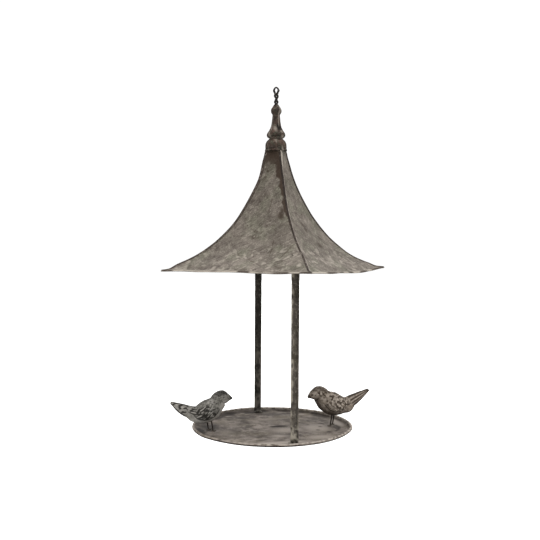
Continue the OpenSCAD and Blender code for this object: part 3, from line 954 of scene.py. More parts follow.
            # A ragged band of stain and painted seam shadow runs down by the front seam and widens upwards
            width = 2.4 + 3.2 * ease(60, 120, height) + 3.5 * ease(130, 170, height)
            torn = near_hip / width + 0.9 * ragged + 0.4 * cloud(points, 4, 46)
            band = ease(-1, 1, lateral) * ease(1.7, 0.7, torn)
            grime = np.maximum(grime, 0.9 * band * ease(8, 45, height))
        if side is RoofSide.FRONT_RIGHT:
            # A painted highlight runs along the other side of that seam, with a broader one near the top
            by_seam = ease(1, -1, lateral)
            strip = by_seam * ease(11, 6, near_hip + 3 * ragged)
            worn = np.maximum(worn, 0.75 * strip * ease(170, 182, height))
            line = by_seam * bump(near_hip, 3.6, 1.3)
            worn = np.maximum(worn, 0.6 * line * ease(0.1, -0.2, ragged))
        # Painted light and shade, partly stain: the lower roof is paler and the upper darker, in patches, as
        # under light from above
        light_and_shade_patches = cloud(points, 13, 47) + 0.7 * cloud(points, 5, 48)
        worn = np.maximum(worn, 0.43 * ease(75, 20, height) * ease(0.0, 0.5, light_and_shade_patches))
        grime = np.maximum(grime, 0.34 * ease(20, 60, height) * ease(0.25, 0.7, -light_and_shade_patches))
        # The eave's fold has painted highlights in some stretches and painted shade in others
        drawn_out = cloud(points, 26, 43)
        worn = np.maximum(worn, 0.85 * bump(height, 0.0, 1.4) * ease(-0.3, 0.1, drawn_out))
        grime = np.maximum(grime, 0.9 * bump(height, 0.6, 1.8) * ease(0.05, -0.25, drawn_out))
        return {Mask.GRIME: grime, Mask.WORN: worn * (1 - 0.5 * grime)}

    def build_seam(self, hip: Hip) -> None:
        """Builds the folded and soldered seam over one hip.

        Args:
            hip: Which of the four.
        """
        front = hip is Hip.FRONT
        flat, narrow = (0.45, 0.72) if front else (1.0, 1.0)
        outline = [(-w, t) for w, t in reversed(self.fold)] + list(self.fold[1:])
        outline += [(0.9, -1.15), (-0.9, -1.15)]
        shares = np.linspace(self.sheet / self.hip_length, 0.992, 170)
        corner = math.radians(45)
        local = []
        for i, u in enumerate(shares):
            swell = 1 + 0.16 * noise.noise(Vector((i * 0.21, hip.value * 0.1, 3.0)))
            for w, t in outline:
                high = self.seam_height * (1 + t) * (1 - 0.7 * ease(0.9, 0.99, u))
                x, z = self.section(u, high * flat - 0.05)
                way = 1 if w >= 0 else -1
                y = -way * (x - abs(w) * swell * narrow)
                c, s = math.cos(way * corner), math.sin(way * corner)
                local.append((x * c - y * s, x * s + y * c, z + self.eave_height))
        points = spun(local, math.radians(hip.value))
        place = np.tile([w for w, _ in outline], len(shares))
        along = np.repeat(shares, len(outline))
        # The front seam has a painted highlight down one side; every seam has painted shade, with some
        # stain, down the other
        worn = 0.8 * ease(1.6, 3.2, place) if front else 0.4 * bump(place, 0, 1.2)
        worn = worn * ease(-0.4, 0.1, cloud(points, 12, 41))
        # The left seam is left darker, as painted shade along the roof's left outline
        if hip is Hip.LEFT:
            worn = worn * 0.3
        grime = 0.7 * ease(1.8, 0.4, place) * (0.6 + 0.4 * ease(0.2, 0.6, along))
        self.shop.piece(f"hip_seam_fold_{hip.name.lower()}",
                        (self.hand_made(points), capped_faces(len(shares), len(outline))), DARK_SEAM,
                        Body.FEEDER, "roof_seam", (f"hip_seam_{hip.name.lower()}",),
                        {Mask.GRIME: grime, Mask.WORN: worn})

    def build(self) -> None:
        """Builds the four sides and the four seams."""
        for side in RoofSide:
            self.build_side(side)
        for hip in Hip:
            self.build_seam(hip)


@dataclass
class Finial:
    """Sand-cast cap and spindle over the roof's apex."""

    shop: Workshop
    apex: float = 484.0
    bore: float = 2.15
    sides: int = 96
    cap: tuple = ((18.6, 0.1), (19.2, 0.9), (19.3, 1.7), (19.0, 2.7), (18.5, 3.5), (18.35, 4.6), (18.4, 7.0),
                  (18.35, 9.5), (18.15, 11.6), (17.7, 13.4), (16.9, 15.2), (15.8, 17.0), (14.2, 18.8),
                  (12.6, 20.3), (11.5, 21.3))
    spindle: tuple = ((11.3, 21.6), (12.4, 22.4), (13.9, 23.2), (15.2, 24.6), (16.0, 26.2), (16.2, 27.7),
                      (15.9, 29.6), (15.2, 31.2), (14.0, 33.0), (12.6, 35.0), (11.2, 37.4), (9.9, 40.0),
                      (8.9, 43.0), (8.2, 46.6), (7.6, 50.0), (7.2, 53.5), (6.85, 57.0), (6.6, 60.5),
                      (6.6, 62.2), (6.8, 63.1), (7.6, 64.3), (8.5, 65.8), (9.0, 67.6), (9.2, 69.6),
                      (9.0, 71.6), (8.3, 73.4), (7.1, 75.4), (5.9, 77.2), (4.6, 79.2), (3.5, 80.9))

    def cast(self, name: str, outline: Sequence, node: str) -> None:
        """Builds one turned casting with a slightly uneven skin.

        Args:
            name: The piece's name.
            outline: Its radii and heights above the apex, from bottom to top.
            node: The CAD node that it stands for.
        """
        curve = smooth_rows(outline, 4)
        inner = [(self.bore, z) for z in np.linspace(curve[-1][1], curve[0][1], 6)]
        points, faces = lathe(np.vstack([curve, inner]), self.sides)
        reach = np.hypot(points[:, 0], points[:, 1])
        uneven = cloud(points, 9, 4) * 0.35 + cloud(points, 3.5, 5) * 0.14
        grow = 1 + np.where(reach > self.bore + 0.5, uneven, 0) / np.maximum(reach, 1)
        height = points[:, 2].copy()
        low_lip = ease(4.5, 1.5, height) * ease(self.bore + 2, self.bore + 12, reach)
        points[:, 2] -= low_lip * (0.5 + 1.0 * cloud(points, 16, 42) - 0.03 * points[:, 0])
        points[:, :2] *= grow[:, None]
        points[:, 2] += self.apex
        self.shop.piece(name, (points, faces), CAST_FINIAL, Body.FEEDER, "finial_casting", (node,),
                        self.masks(points, height))

    @staticmethod
    def masks(points: np.ndarray, height: np.ndarray) -> dict:
        """Where a casting is stained, where it is rubbed, and where highlights are painted on its front.

        Args:
            points: Its points in their place.
            height: Their heights above the apex, before the lip was bent.

        Returns:
            The two masks.
        """
        drawn_up = points * np.array([1, 1, 0.35])
        under_lip = 0.6 * ease(3, 0, height)
        over_lip = 0.7 * bump(height, 3.8, 1.0)
        under_ring = 0.6 * bump(height, 25.0, 1.5)
        throat = 0.5 * bump(height, 62.6, 1.4)
        runs = 0.8 * ease(0.1, 0.5, cloud(drawn_up, 9, 6))
        grime = np.maximum.reduce([under_ring, throat, over_lip, under_lip, runs])
        # Painted highlights: a streak, a spot and a dab of light on the front only
        ahead = points[:, 1] < 0
        waist = 0.5 * bump(height, 21.8, 1.3)
        streak = 0.7 * bump(points[:, 0], 2.6, 1.1) * ease(38, 46, height) * ease(70, 64, height) * ahead
        spot = 0.75 * bump(np.hypot(points[:, 0] + 4, 0.6 * (height - 38)), 0, 3.4) * ahead
        dab = 0.8 * bump(np.hypot(points[:, 0] - 8, height - 24), 0, 3.6) * ahead
        scuffs = 0.5 * ease(0.15, 0.5, cloud(drawn_up, 6, 7))
        worn = np.maximum.reduce([waist, streak, spot, dab, scuffs])
        return {Mask.GRIME: grime, Mask.WORN: worn}

    def build(self) -> None:
        """Builds the cap and the spindle."""
        self.cast("cast_cap", self.cap, "finial_cap")
        self.cast("cast_spindle", self.spindle, "finial_spindle")
        self.shop.dress("apex_plate", DARK_FIXING)


@dataclass
class Chain:
    """Two oval wire links, the tie rod's eye below them, and what holds the rod under the cross bar."""

    shop: Workshop
    wire: float = 1.25
    end_radius: float = 3.55
    length: float = 14.5
    crown_drop: float = 1.5

    def link(self, name: str, node: str, body: Body, top_turn: float, bottom_turn: float) -> None:
        """Builds one twisted link with its weld on one side.

        Args:
            name: The piece's name.
            node: The CAD node that it stands for.
            body: The body that it is.
            top_turn: How far its upper end is turned away from the front, in degrees.
            bottom_turn: How far its lower end is turned.
        """
        radius, length = self.end_radius, self.length
        low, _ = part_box(node)
        bottom = (low.z - DISH_UNDERSIDE) / MM + self.wire
        top, middle = bottom + length, bottom + length / 2
        half_turn = np.linspace(0, math.pi, 17)
        rise = np.linspace(0.12, 0.88, 8) * (length - 2 * radius)
        path = [(radius * math.cos(a), bottom + radius + radius * math.sin(a)) for a in half_turn + math.pi]
        path += [(radius, bottom + radius + step) for step in rise]
        path += [(radius * math.cos(a), top - radius + radius * math.sin(a)) for a in half_turn]
        path += [(-radius, bottom + radius + step) for step in rise[::-1]]
        flat = np.array(path)
        flat[:, 0] *= 0.8 + 0.34 * bump(flat[:, 1], middle, 0.3 * length)
        weld = bump(flat[:, 1], middle, 1.1) * (flat[:, 0] > 0)
        legs = bump(flat[:, 1], middle, 0.36 * length)
        radii = self.wire * (1.14 + 0.4 * legs + 0.06 * weld)
        # Each link is twisted, so its two ends don't lie in one plane
        part = ease(middle + 0.22 * length, middle - 0.2 * length, flat[:, 1])
        turned = np.radians(top_turn + (bottom_turn - top_turn) * part)
        spine = np.column_stack([flat[:, 0] * np.cos(turned), flat[:, 0] * np.sin(turned), flat[:, 1]])
        points, faces = tube(spine, radii, 20, closed=True)
        if body is Body.TOP_LINK:
            points[:, 2] -= self.crown_drop * ease(middle, top, points[:, 2])
        worn = 0.7 * bump(points[:, 2], top, 1.5) + 0.6 * bump(points[:, 2], bottom, 1.5)
        self.shop.piece(name, (points, faces), BLACK_WIRE, body, "chain_wire", (node,), {Mask.WORN: worn})

    def build(self) -> None:
        """Builds the links and dresses the rod, its washer and its nut."""
        self.link("welded_link_top", "hanger_link", Body.TOP_LINK, 0, -60)
        self.link("welded_link_lower", "lower_link", Body.LOWER_LINK, 30, 90)
        self.shop.dress("tie_rod", BLACK_WIRE)
        self.shop.dress("tie_rod_washer", DARK_FIXING, 0.2)
        self.shop.dress("tie_rod_nut", DARK_FIXING, 0.35)


@dataclass
class Posts:
    """Two flat bars with their feet bent inwards, and the cross bar and rivets that go with them."""

    shop: Workshop
    width: float = 12.8
    thick: float = 3.0
    foot: float = 15.0
    dish_sheet: float = 1.0
    corner: float = 0.75
    bend: float = 3.4
    top_gap: float = 1.6

    def ring(self) -> list[tuple[float, float]]:
        """The bar's rounded cross-section.

        Returns:
            Pairs of place across its width and across its thickness.
        """
        out = []
        corner, half_w, half_t = self.corner, self.width / 2, self.thick / 2
        for sx, sy, first in ((1, 1, 0), (-1, 1, 90), (-1, -1, 180), (1, -1, 270)):
            for a in np.radians(first + np.array([0, 30, 60, 90])):
                out.append((sx * (half_w - corner) + corner * math.cos(a),
                            sy * (half_t - corner) + corner * math.sin(a)))
            if sx == sy:
                out += [(sx * across, sx * half_t) for across in (3, 0, -3)]
        return out

    def post(self, name: str, node: str, side: int, look: Patina) -> None:
        """Builds one post.

        Args:
            name: The piece's name.
            node: The CAD node that it stands for.
            side: -1 for the front and 1 for the rear.
            look: Its finish.
        """
        low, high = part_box(node)
        outer = max(abs(low.y), abs(high.y)) / MM
        top = (high.z - DISH_UNDERSIDE) / MM - self.top_gap
        level = self.dish_sheet + self.thick / 2
        line = outer - self.thick / 2
        spine = [(y, level, 0.0) for y in np.linspace(outer - self.foot, line - self.bend, 6)]
        bend = self.bend
        for a in np.radians(np.linspace(0, 90, 8)[1:]):
            spine.append((line - bend * (1 - math.sin(a)), level + bend * (1 - math.cos(a)), a))
        for z in np.linspace(level + bend + 2.5, top, 110):
            spine.append((line, z, math.pi / 2))
        section = self.ring()
        points = np.array([(w, side * (y + t * math.sin(angle)), z - t * math.cos(angle))
                           for y, z, angle in spine for w, t in section])
        # The edges ripple a little, as on a bar that was cut and straightened by hand
        half = self.width / 2
        ripple = cloud(points, 14, 8 + side) * 0.22 + cloud(points, 5, 9) * 0.1
        points[:, 0] += np.sign(points[:, 0]) * ease(half - 1.6, half - 0.2, np.abs(points[:, 0])) * ripple
        self.shop.piece(name, (points, capped_faces(len(spine), len(section))), look, Body.FEEDER,
                        "flat_bar", (node,), self.masks(points, side, top))

    def masks(self, points: np.ndarray, side: int, top: float) -> dict:
        """Where a post is stained or painted with the roof's shade, and where it is rubbed.

        Args:
            points: Its points.
            side: -1 for the front and 1 for the rear.
            top: The height of its upper end.

        Returns:
            The two masks.
        """
        x, height = points[:, 0], points[:, 2]
        half = self.width / 2
        fine = cloud(points * np.array([1, 1, 0.45]), 4.2, 10)
        foot_light = 0.8 * ease(52, 18, height) * ease(-0.25, 0.15, cloud(points, 6, 11))
        if side < 0:
            shown = np.where(x > 0, 0.35, 0.85)
            worn = ease(half - 5.0, half - 2.0, np.abs(x)) * shown * ease(-0.2, 0.25, fine)
            grime = 0.6 * ease(0.5, 3.0, x) * ease(6, 5, x)
        else:
            shown = np.where(x > 0, 0.9, 0.2) * ease(190, 120, height)
            worn = ease(half - 3.2, half - 0.8, np.abs(x)) * shown
            low_down = 0.62 * ease(175, 100, height)
            worn = np.maximum(worn, low_down * ease(-0.3, 0.2, fine) * ease(-5, -3, x))
            # Painted shade of the roof over the rear post's upper part
            grime = 0.5 * ease(top - 90, top - 20, height)
        worn = np.maximum(worn, foot_light)
        # Patchy dirt, a darker band just above the foot, and painted shade of the roof over both posts'
        # upper ends
        grime = np.maximum.reduce([grime, 0.6 * ease(0.2, 0.5, cloud(points, 9, 12 + side)),
                                   0.8 * bump(height, 7, 4), 0.6 * ease(top - 45, top, height)])
        return {Mask.GRIME: grime, Mask.WORN: worn * (1 - 0.6 * grime)}

    def build(self) -> None:
        """Builds both posts and dresses the cross bar and the rivets."""
        self.post("flat_bar_post_front", "post_front", -1, FLAT_BAR)
        # The rear post takes the copy of the bar painted darker as the roof's shade
        self.post("flat_bar_post_rear", "post_rear", 1, REAR_BAR_PAINTED_SHADE)
        self.shop.dress("cross_bar", FLAT_BAR, 0.4)
        self.shop.dress("cross_bar_rivets", DARK_FIXING)
        self.shop.dress("post_foot_rivets", DARK_FIXING)


@dataclass
class Dish:
    """Shallow round tray with a rim rolled round a wire.

    Each of its stains and painted shadows, and each of its rubs, is x, y, width, depth and strength. The
    level spots are where posts and birds stand.
    """

    shop: Workshop
    radius: float = 140.0
    sheet: float = 1.0
    rim_height: float = 5.0
    wall: float = 9.0
    roll: float = 2.0
    rim_wire: float = 1.4
    rim_aside: float = 3.9
    sides: int = 288
    level_spots: tuple = ((0, -119), (0, 119), (-109.5, -3), (-115.5, 9), (98, -15), (104, -3))
    stain_run: tuple = ((110, -8), (112, -22), (106, -38), (97, -50))
    # The marks at (-112, 30) and (-123, 54) are painted shadow under the left bird
    stains_and_shade: tuple = (
        (-112, 30, 22, 34, 0.75), (104, -28, 6, 22, 0.6), (96, 40, 34, 26, 0.55), (-45, 85, 60, 22, 0.5),
        (30, 100, 60, 16, 0.6), (8, 0, 16, 3, 0.6), (20, -58, 30, 12, 0.45), (70, -36, 4, 6, 0.5),
        (-60, -20, 34, 26, 0.35), (0, -112, 16, 8, 0.4), (72, 32, 5, 8, 0.8), (69, -36, 4, 6, 0.8),
        (-123, 54, 12, 10, 0.8), (-43, 83, 16, 12, 0.6), (-41, -79, 12, 7, 0.6),
        (8, 5, 17, 7, 1.0), (40, -64, 9, 4, 0.55), (-84, -28, 8, 6, 0.5),
        (-45, 20, 12, 70, 0.4), (-30, -60, 22, 16, 0.45), (62, 4, 5, 4, 0.8), (80, -14, 4, 5, 0.8),
        (88, 8, 8, 4, 0.7), (50, 26, 9, 4, 0.6), (30, 52, 14, 6, 0.5), (84, -52, 5, 5, 0.7),
    )
    rubs: tuple = (
        (-20, -104, 60, 12, 0.7), (60, -84, 30, 16, 0.5), (-9, -60, 24, 10, 0.6), (18, -24, 32, 20, 0.55),
        (72, -20, 26, 34, 0.6), (118, 10, 12, 34, 0.7), (-88, -20, 16, 26, 0.4), (10, 60, 40, 14, 0.3),
    )

    def spine(self) -> np.ndarray:
        """The sheet's middle line, from near the centre out to the rolled edge.

        Returns:
            Rows of radius and height.
        """
        wire = self.radius - self.roll - self.sheet / 2
        floor = wire - self.wall
        half = self.sheet / 2
        line = [(r, half) for r in np.concatenate([[1.5], np.arange(4, floor - 2, 3.0)])]
        line += [(floor - 1.2, half), (floor + 0.4, half + 0.35)]
        join = math.radians(196)
        end = (wire + self.roll * math.cos(join), self.rim_height + self.roll * math.sin(join))
        for t in (0.25, 0.5, 0.75):
            line.append((floor + 0.4 + t * (end[0] - floor - 0.4), half + 0.35 + t * (end[1] - half - 0.35)))
        for a in np.radians(np.linspace(196, -66, 27)):
            line.append((wire + self.roll * math.cos(a), self.rim_height + self.roll * math.sin(a)))
        return np.array(line)

    def build(self) -> None:
        """Builds the tray and the wire in its rim."""
        line = self.spine()
        ahead = np.gradient(line, axis=0)
        ahead /= np.linalg.norm(ahead, axis=1)[:, None]
        out = np.column_stack([-ahead[:, 1], ahead[:, 0]]) * self.sheet / 2
        profile = np.vstack([line + out, (line - out)[::-1]])
        turn = np.linspace(0, 2 * math.pi, self.sides, endpoint=False)
        points = np.array([(r * math.cos(a), r * math.sin(a), z) for r, z in profile for a in turn])
        upper = np.repeat(np.arange(len(profile)) < len(line), self.sides)
        self.shop.piece("rolled_rim_dish",
                        (self.hand_shaped(points), capped_faces(len(profile), self.sides)), ZINC_DISH_PAINTED_LIGHTER,
                        Body.FEEDER, "dish_sheet", ("dish",), self.masks(points, upper))
        wire = self.radius - self.roll - self.sheet / 2
        circle = np.column_stack([wire * np.cos(turn), wire * np.sin(turn),
                                  np.full(self.sides, self.rim_height)])
        points, faces = tube(circle, np.full(self.sides, self.rim_wire), 12, closed=True)
        self.shop.piece("rim_wire", (self.hand_shaped(points), faces), DARK_FIXING, Body.FEEDER, "fixings",
                        ("dish_rim_wire",))

    def hand_shaped(self, points: np.ndarray) -> np.ndarray:
        """Dents the floor, waves the rim and sets it a little to one side, as in a hand-rolled tray.

        Args:
            points: Points of the tray or of the wire in its rim.

        Returns:
            The moved points.
        """
        points = np.array(points, float)
        reach = np.hypot(points[:, 0], points[:, 1])
        flat = points * np.array([1, 1, 0])
        settle = np.ones(len(points))
        for x, y in self.level_spots:
            settle *= ease(7, 24, np.hypot(points[:, 0] - x, points[:, 1] - y))
        dents = cloud(flat, 42, 13) * 0.55 + cloud(flat, 17, 14) * 0.25
        inside = ease(128, 118, reach) * settle
        rim = ease(129, 135, reach)
        wave = cloud(flat, 55, 15) * 0.8 + cloud(flat, 16, 16) * 0.28
        crease = np.abs((flat[:, 0] + 6) * 0.24 + (flat[:, 1] - 4) * 0.97)
        dents = dents - 0.8 * bump(crease, 0, 2.2) * bump(flat[:, 0], 6, 15)
        points[:, 2] += dents * inside + wave * rim * 0.8
        points[:, 2] = np.maximum(points[:, 2], 0.0)
        out_of_round = rim * (cloud(flat, 40, 17) * 0.4 + 0.3) - 2.8 * ease(-40, -120, flat[:, 1]) * rim
        points[:, 0] *= 1 + out_of_round / self.radius
        points[:, 1] *= 1 + out_of_round / self.radius
        points[:, 0] -= self.rim_aside * rim
        return points

    @staticmethod
    def blots(x: np.ndarray, y: np.ndarray, marks: Sequence) -> np.ndarray:
        """How much of the tray's marks shows at each point.

        Args:
            x: The points' places from left to right.
            y: Their places from front to rear.
            marks: The marks, each as x, y, width, depth and strength.

        Returns:
            Amounts from 0 to 1.
        """
        shown = np.zeros(len(x))
        for at_x, at_y, wide, deep, amount in marks:
            away = ((x - at_x) / wide) ** 2 + ((y - at_y) / deep) ** 2
            shown = np.maximum(shown, amount * np.exp(-(away**1.6)))
        return shown

    def masks(self, points: np.ndarray, upper: np.ndarray) -> dict:
        """Where the tray is stained or painted with shade, and where it is rubbed.

        Args:
            points: Its points.
            upper: Whether each lies on the upper face.

        Returns:
            The two masks.
        """
        x, y, height = points.T
        reach = np.hypot(x, y)
        rear = ease(-10, 80, y)
        corner = bump(reach, 130.5, np.where(reach < 130.5, 9.0, 5.0))
        uneven = 0.75 + 0.5 * cloud(points, 20, 44)
        # Dirt in the corner by the wall, with painted shade added at the rear and at the left end, under the
        # left bird
        grime = corner * np.maximum(0.3 + 0.7 * rear, 0.9 * ease(-60, -125, x)) * uneven
        # A band of dirt and painted shade inside the rear wall
        grime = np.maximum(grime, 0.9 * rear * bump(reach, 123, 11) * ease(-0.4, 0.1, cloud(points, 24, 45)))
        run = np.array(self.stain_run, float)
        for start, end in zip(run[:-1], run[1:]):
            line = end - start
            share = np.clip(((x - start[0]) * line[0] + (y - start[1]) * line[1]) / (line @ line), 0, 1)
            away = np.hypot(x - start[0] - share * line[0], y - start[1] - share * line[1])
            grime = np.maximum(grime, 0.8 * bump(away, 0, 3.5))
        grime = np.maximum(grime, self.blots(x, y, self.stains_and_shade))
        lip = ease(self.rim_height - 1.0, self.rim_height + 1.2, height) * ease(131.5, 134.5, reach)
        outside = ease(138.6, 139.6, reach) * ease(6.4, 4.6, height)
        grime = np.where(upper, grime, 0.45)
        grime = np.maximum(grime * (1 - lip), outside * (0.6 + 0.4 * ease(60, -40, x)))
        specks = ease(-0.4, 0.0, cloud(points, 5, 18) + 0.4 * cloud(points, 2.5, 19))
        worn = lip * specks * (0.8 - 0.3 * ease(-40, -110, x) * ease(20, -20, y)) * (1 - outside)
        worn = np.maximum(worn, self.blots(x, y, self.rubs))
        worn = np.where(upper, worn * (1 - 0.7 * grime * (1 - lip)), 0.0)
        return {Mask.GRIME: grime, Mask.WORN: worn}


class Plumage(Enum):
    """How a bird's feathers are cast: crisp strokes, or soft and pitted."""

    CRISP = 1
    SOFT = 2


@dataclass(frozen=True)
class BirdPlan:
    """A bird's sections, and where its parts lie along it, in millimetres ahead of its feet.

    Each section is forward, up, half height and half width, with up measured from the belly's lowest point.
    The eye is a place along the bird and a height over the section's middle.
    """

    sections: tuple
    shoulder: float
    wing_tip: float
    tail_root: float
    eye: tuple[float, float]
    gape: float


@dataclass(frozen=True)
class Skin:
    """A bird's plain body, with one value for each of its points.

    Forward is the place of the point's section along the bird, up its height over the section's middle,
    flank how far it faces sideways, from 0 to 1, and angle its angle round the section.
    """

    points: np.ndarray
    forward: np.ndarray
    up: np.ndarray
    flank: np.ndarray
    angle: np.ndarray

    @property
    def rise(self) -> np.ndarray:
        """How far each point faces up, from -1 to 1."""
        return np.sin(self.angle)


@dataclass(frozen=True)
class Feathers:
    """Where a bird's wings, scales, tail and features lie, with one value for each of its points.

    Quills are the dark strokes of the wing, ribs the raised lines of the tail, and level the height across
    the tail from -1 to 1. Eye is the distance from the eye. The others are amounts from 0 to 1.
    """

    wing: np.ndarray
    wing_rim: np.ndarray
    quills: np.ndarray
    scales: np.ndarray
    breast: np.ndarray
    tail: np.ndarray
    ribs: np.ndarray
    level: np.ndarray
    eye: np.ndarray
    gape: np.ndarray

    @property
    def plain(self) -> np.ndarray:
        """Where there is neither wing, breast nor tail."""
        return (1 - self.wing) * (1 - self.breast) * (1 - self.tail)


@dataclass
class Bird:
    """A cast bird with folded wings, standing on wire legs.

    Each toe is its direction in degrees and its length, and solder is the outline of the blob round a
    foot, as radius and height.
    """

    shop: Workshop
    name: str
    plan: BirdPlan
    foot_x: float
    foot_y: float
    facing: int
    leg: float
    look: Patina
    plumage: Plumage
    seed: float
    sides: int = 144
    steps: int = 15
    dish_sheet: float = 1.0
    feet_gap: float = 12.0
    stride: float = 6.0
    trail: float = 0.0
    lean: float = 10.0
    leg_radius: float = 1.15
    toes: tuple = ((0, 5.2), (38, 4.4), (-38, 4.4), (180, 3.8))
    solder: tuple = ((0.4, 1.05), (1.4, 1.0), (2.2, 0.75), (2.9, 0.35), (3.2, 0.0), (0.4, 0.0))

    @staticmethod
    def scallops(along: np.ndarray, across: np.ndarray, length: float, width: float) -> np.ndarray:
        """Heights of overlapping scale-like feathers.

        Args:
            along: Places along the bird, forwards, in millimetres.
            across: Places across the feathers' rows.
            length: Distance between two rows.
            width: Width of a feather.

        Returns:
            Values from 0 behind a feather's free edge to 1 on the edge.
        """
        tops = []
        for row in (0, 1):
            beside = (across / width + 0.5 * row) % 1 - 0.5
            edge = along / length + 1.8 * beside**2
            tops.append(1 - ((edge - row) % 2) / 2)
        return np.clip(np.maximum(*tops) * 2 - 1, 0, 1)

    def feathers(self, skin: Skin) -> Feathers:
        """Lays the plumage out on the plain body.

        Args:
            skin: The plain body.

        Returns:
            Where each part of the plumage lies.
        """
        plan = self.plan
        forward, up, points = skin.forward, skin.up, skin.points
        t = (plan.shoulder - forward) / (plan.shoulder - plan.wing_tip)
        top_edge = 16.5 - 9.0 * t
        low_edge = -11.0 * np.sin(np.clip(t * 1.2 + 0.1, 0, 1) * math.pi) ** 0.7 + 1.5 * t
        sideways = ease(0.15, 0.4, skin.flank)
        wing = (ease(0.0, 0.12, t) * ease(1.0, 0.86, t) * ease(low_edge - 0.7, low_edge + 0.7, up)
                * ease(top_edge + 1.6, top_edge - 1.6, up) * sideways)
        wing_rim = (ease(low_edge - 3.0, low_edge - 1.0, up) * ease(low_edge + 0.9, low_edge - 0.5, up)
                    * ease(0.0, 0.1, t) * ease(1.0, 0.85, t) * sideways)
        # Strokes run down and back over the wing. They are drawn about two millimetres wide, which is
        # coarser than real barbs, so that they show.
        drawn = np.column_stack([(forward + 0.42 * up) * 0.28, np.sign(points[:, 1]) * 40,
                                 up - 0.42 * forward])
        strokes = ease(-0.34, 0.04, cloud(drawn, 2.2, self.seed) + 0.2 * cloud(points, 1.9, self.seed + 6))
        blots = ease(0.0, 0.3, cloud(points * np.array([0.7, 1, 1]), 3.4, self.seed + 1))
        coverts = ease(0.35, 0.15, t)
        count = 5 if self.plumage is Plumage.CRISP else 3.6
        waver = 0.12 * cloud(points, 9, self.seed + 7)
        return Feathers(
            wing=wing,
            wing_rim=wing_rim,
            quills=strokes * (1 - coverts) + np.maximum(strokes * 0.5, blots) * coverts,
            scales=self.scallops(forward, up, 3.6, 3.8),
            breast=ease(0.1, -0.4, skin.rise) * (1 - wing),
            tail=ease(plan.tail_root, plan.tail_root - 8, forward),
            ribs=1 - np.abs(((skin.angle / math.pi * count + waver) % 1) * 2 - 1) ** 1.3,
            level=np.sign(skin.rise) * np.abs(skin.rise) ** 0.75,
            eye=np.hypot(forward - plan.eye[0], up - plan.eye[1]),
            gape=ease(plan.gape, plan.gape + 3, forward) * bump(up, -0.5, 0.45),
        )

    def relief(self, skin: Skin, laid: Feathers) -> np.ndarray:
        """Feathers, wings, eyes and beak as heights over the plain body.

        Args:
            skin: The plain body.
            laid: Where the plumage lies.

        Returns:
            Heights in millimetres.
        """
        plan, forward = self.plan, skin.forward
        crisp = self.plumage is Plumage.CRISP
        quill, scale, rib = (0.6, 0.1, 0.5) if crisp else (0.4, 0.08, 0.8)
        height = laid.wing * (0.9 + quill * (1 - laid.quills))
        height = height + laid.plain * scale * laid.scales + laid.tail * rib * laid.ribs
        socket = 0.7 * bump(laid.eye, 0, 1.5) - 0.35 * bump(laid.eye, 2.4, 0.6)
        height = height + ease(0.5, 0.8, skin.flank) * socket
        height = height - 0.4 * laid.gape - 0.25 * bump(forward, plan.gape, 0.8)
        if not crisp:
            # The rump stands out below the tail and ends in a notch
            notch = ease(plan.tail_root - 7.5, plan.tail_root - 5.0, forward)
            rump = bump(forward, plan.tail_root + 1.0, 6.0) * notch
            height = height + 4.2 * rump * ease(-0.3, -0.85, skin.rise)
        uneven = 0.35 * cloud(skin.points, 7, self.seed + 2) + 0.16 * cloud(skin.points, 2.6, self.seed + 3)
        return height + uneven

    def stains_and_shade(self, skin: Skin, laid: Feathers) -> np.ndarray:
        """Where the dark wash stays, between feathers, on crown, cheeks, beak and tail and in pits, and on
        the soft bird a painted shadow under the belly.

        Args:
            skin: The plain body.
            laid: Where the plumage lies.

        Returns:
            Amounts from 0 to 1.
        """
        plan, points, level = self.plan, skin.points, laid.level
        crisp = self.plumage is Plumage.CRISP
        strong, capped = (1.0, 1.0) if crisp else (0.6, 1.4)
        head = ease(plan.eye[0] - 14, plan.eye[0] - 5, skin.forward)
        speckle = ease(-0.05, 0.25, cloud(points, 3.0, self.seed + 4))
        under_feathers = laid.wing * laid.quills
        back = 0.55 * ease(0.8, 0.97, skin.rise) * (1 - laid.tail)
        body = laid.plain * (0.45 * (1 - laid.scales) + 0.4 * speckle)
        crown = capped * head * ease(2, 9, skin.up) * (0.7 + 0.3 * speckle)
        cheek = 0.6 * head * bump(skin.up, -3, 5) * speckle
        beak_tip = ease(plan.gape + 1.5, plan.gape + 6, skin.forward)
        pupil = bump(laid.eye, 0, 1.7) * ease(0.5, 0.8, skin.flank)
        dabs = ease(0.0, 0.2, cloud(points * np.array([0.6, 1, 1]), 3.6, self.seed + 8))
        if crisp:
            tail_dark = np.maximum(0.95 * dabs, 0.8 * bump(level, 0.95, 0.2))
        else:
            tip = ease(plan.tail_root - 28, plan.tail_root - 39, skin.forward)
            lines = np.maximum(bump(level, 0.42, 0.21), bump(level, -0.16, 0.22))
            tail_dark = np.maximum.reduce([0.5 * dabs, lines, 0.95 * bump(level, 0.97, 0.2),
                                           ease(-0.36, -0.5, level), tip])
        under_tail = laid.tail * ease(-0.35, -0.8, skin.rise)
        grime = np.maximum.reduce([strong * part for part in (under_feathers, back, body, crown, cheek)]
                                  + [0.95 * laid.wing_rim, 0.9 * beak_tip, 0.7 * laid.gape, 0.6 * pupil,
                                     laid.tail * tail_dark, 0.95 * under_tail])
        if not crisp:
            trunk = 1 - laid.tail
            pits = ease(0.06, 0.3, cloud(points, 4.3, self.seed + 5)) * trunk * (1 - 0.7 * laid.breast)
            # Painted shadow under the belly
            belly = ease(-0.1, -1.0, skin.rise) * trunk * (1 - laid.wing)
            grime = np.maximum.reduce([0.95 * grime, 0.85 * pits, 0.75 * belly])
        return grime

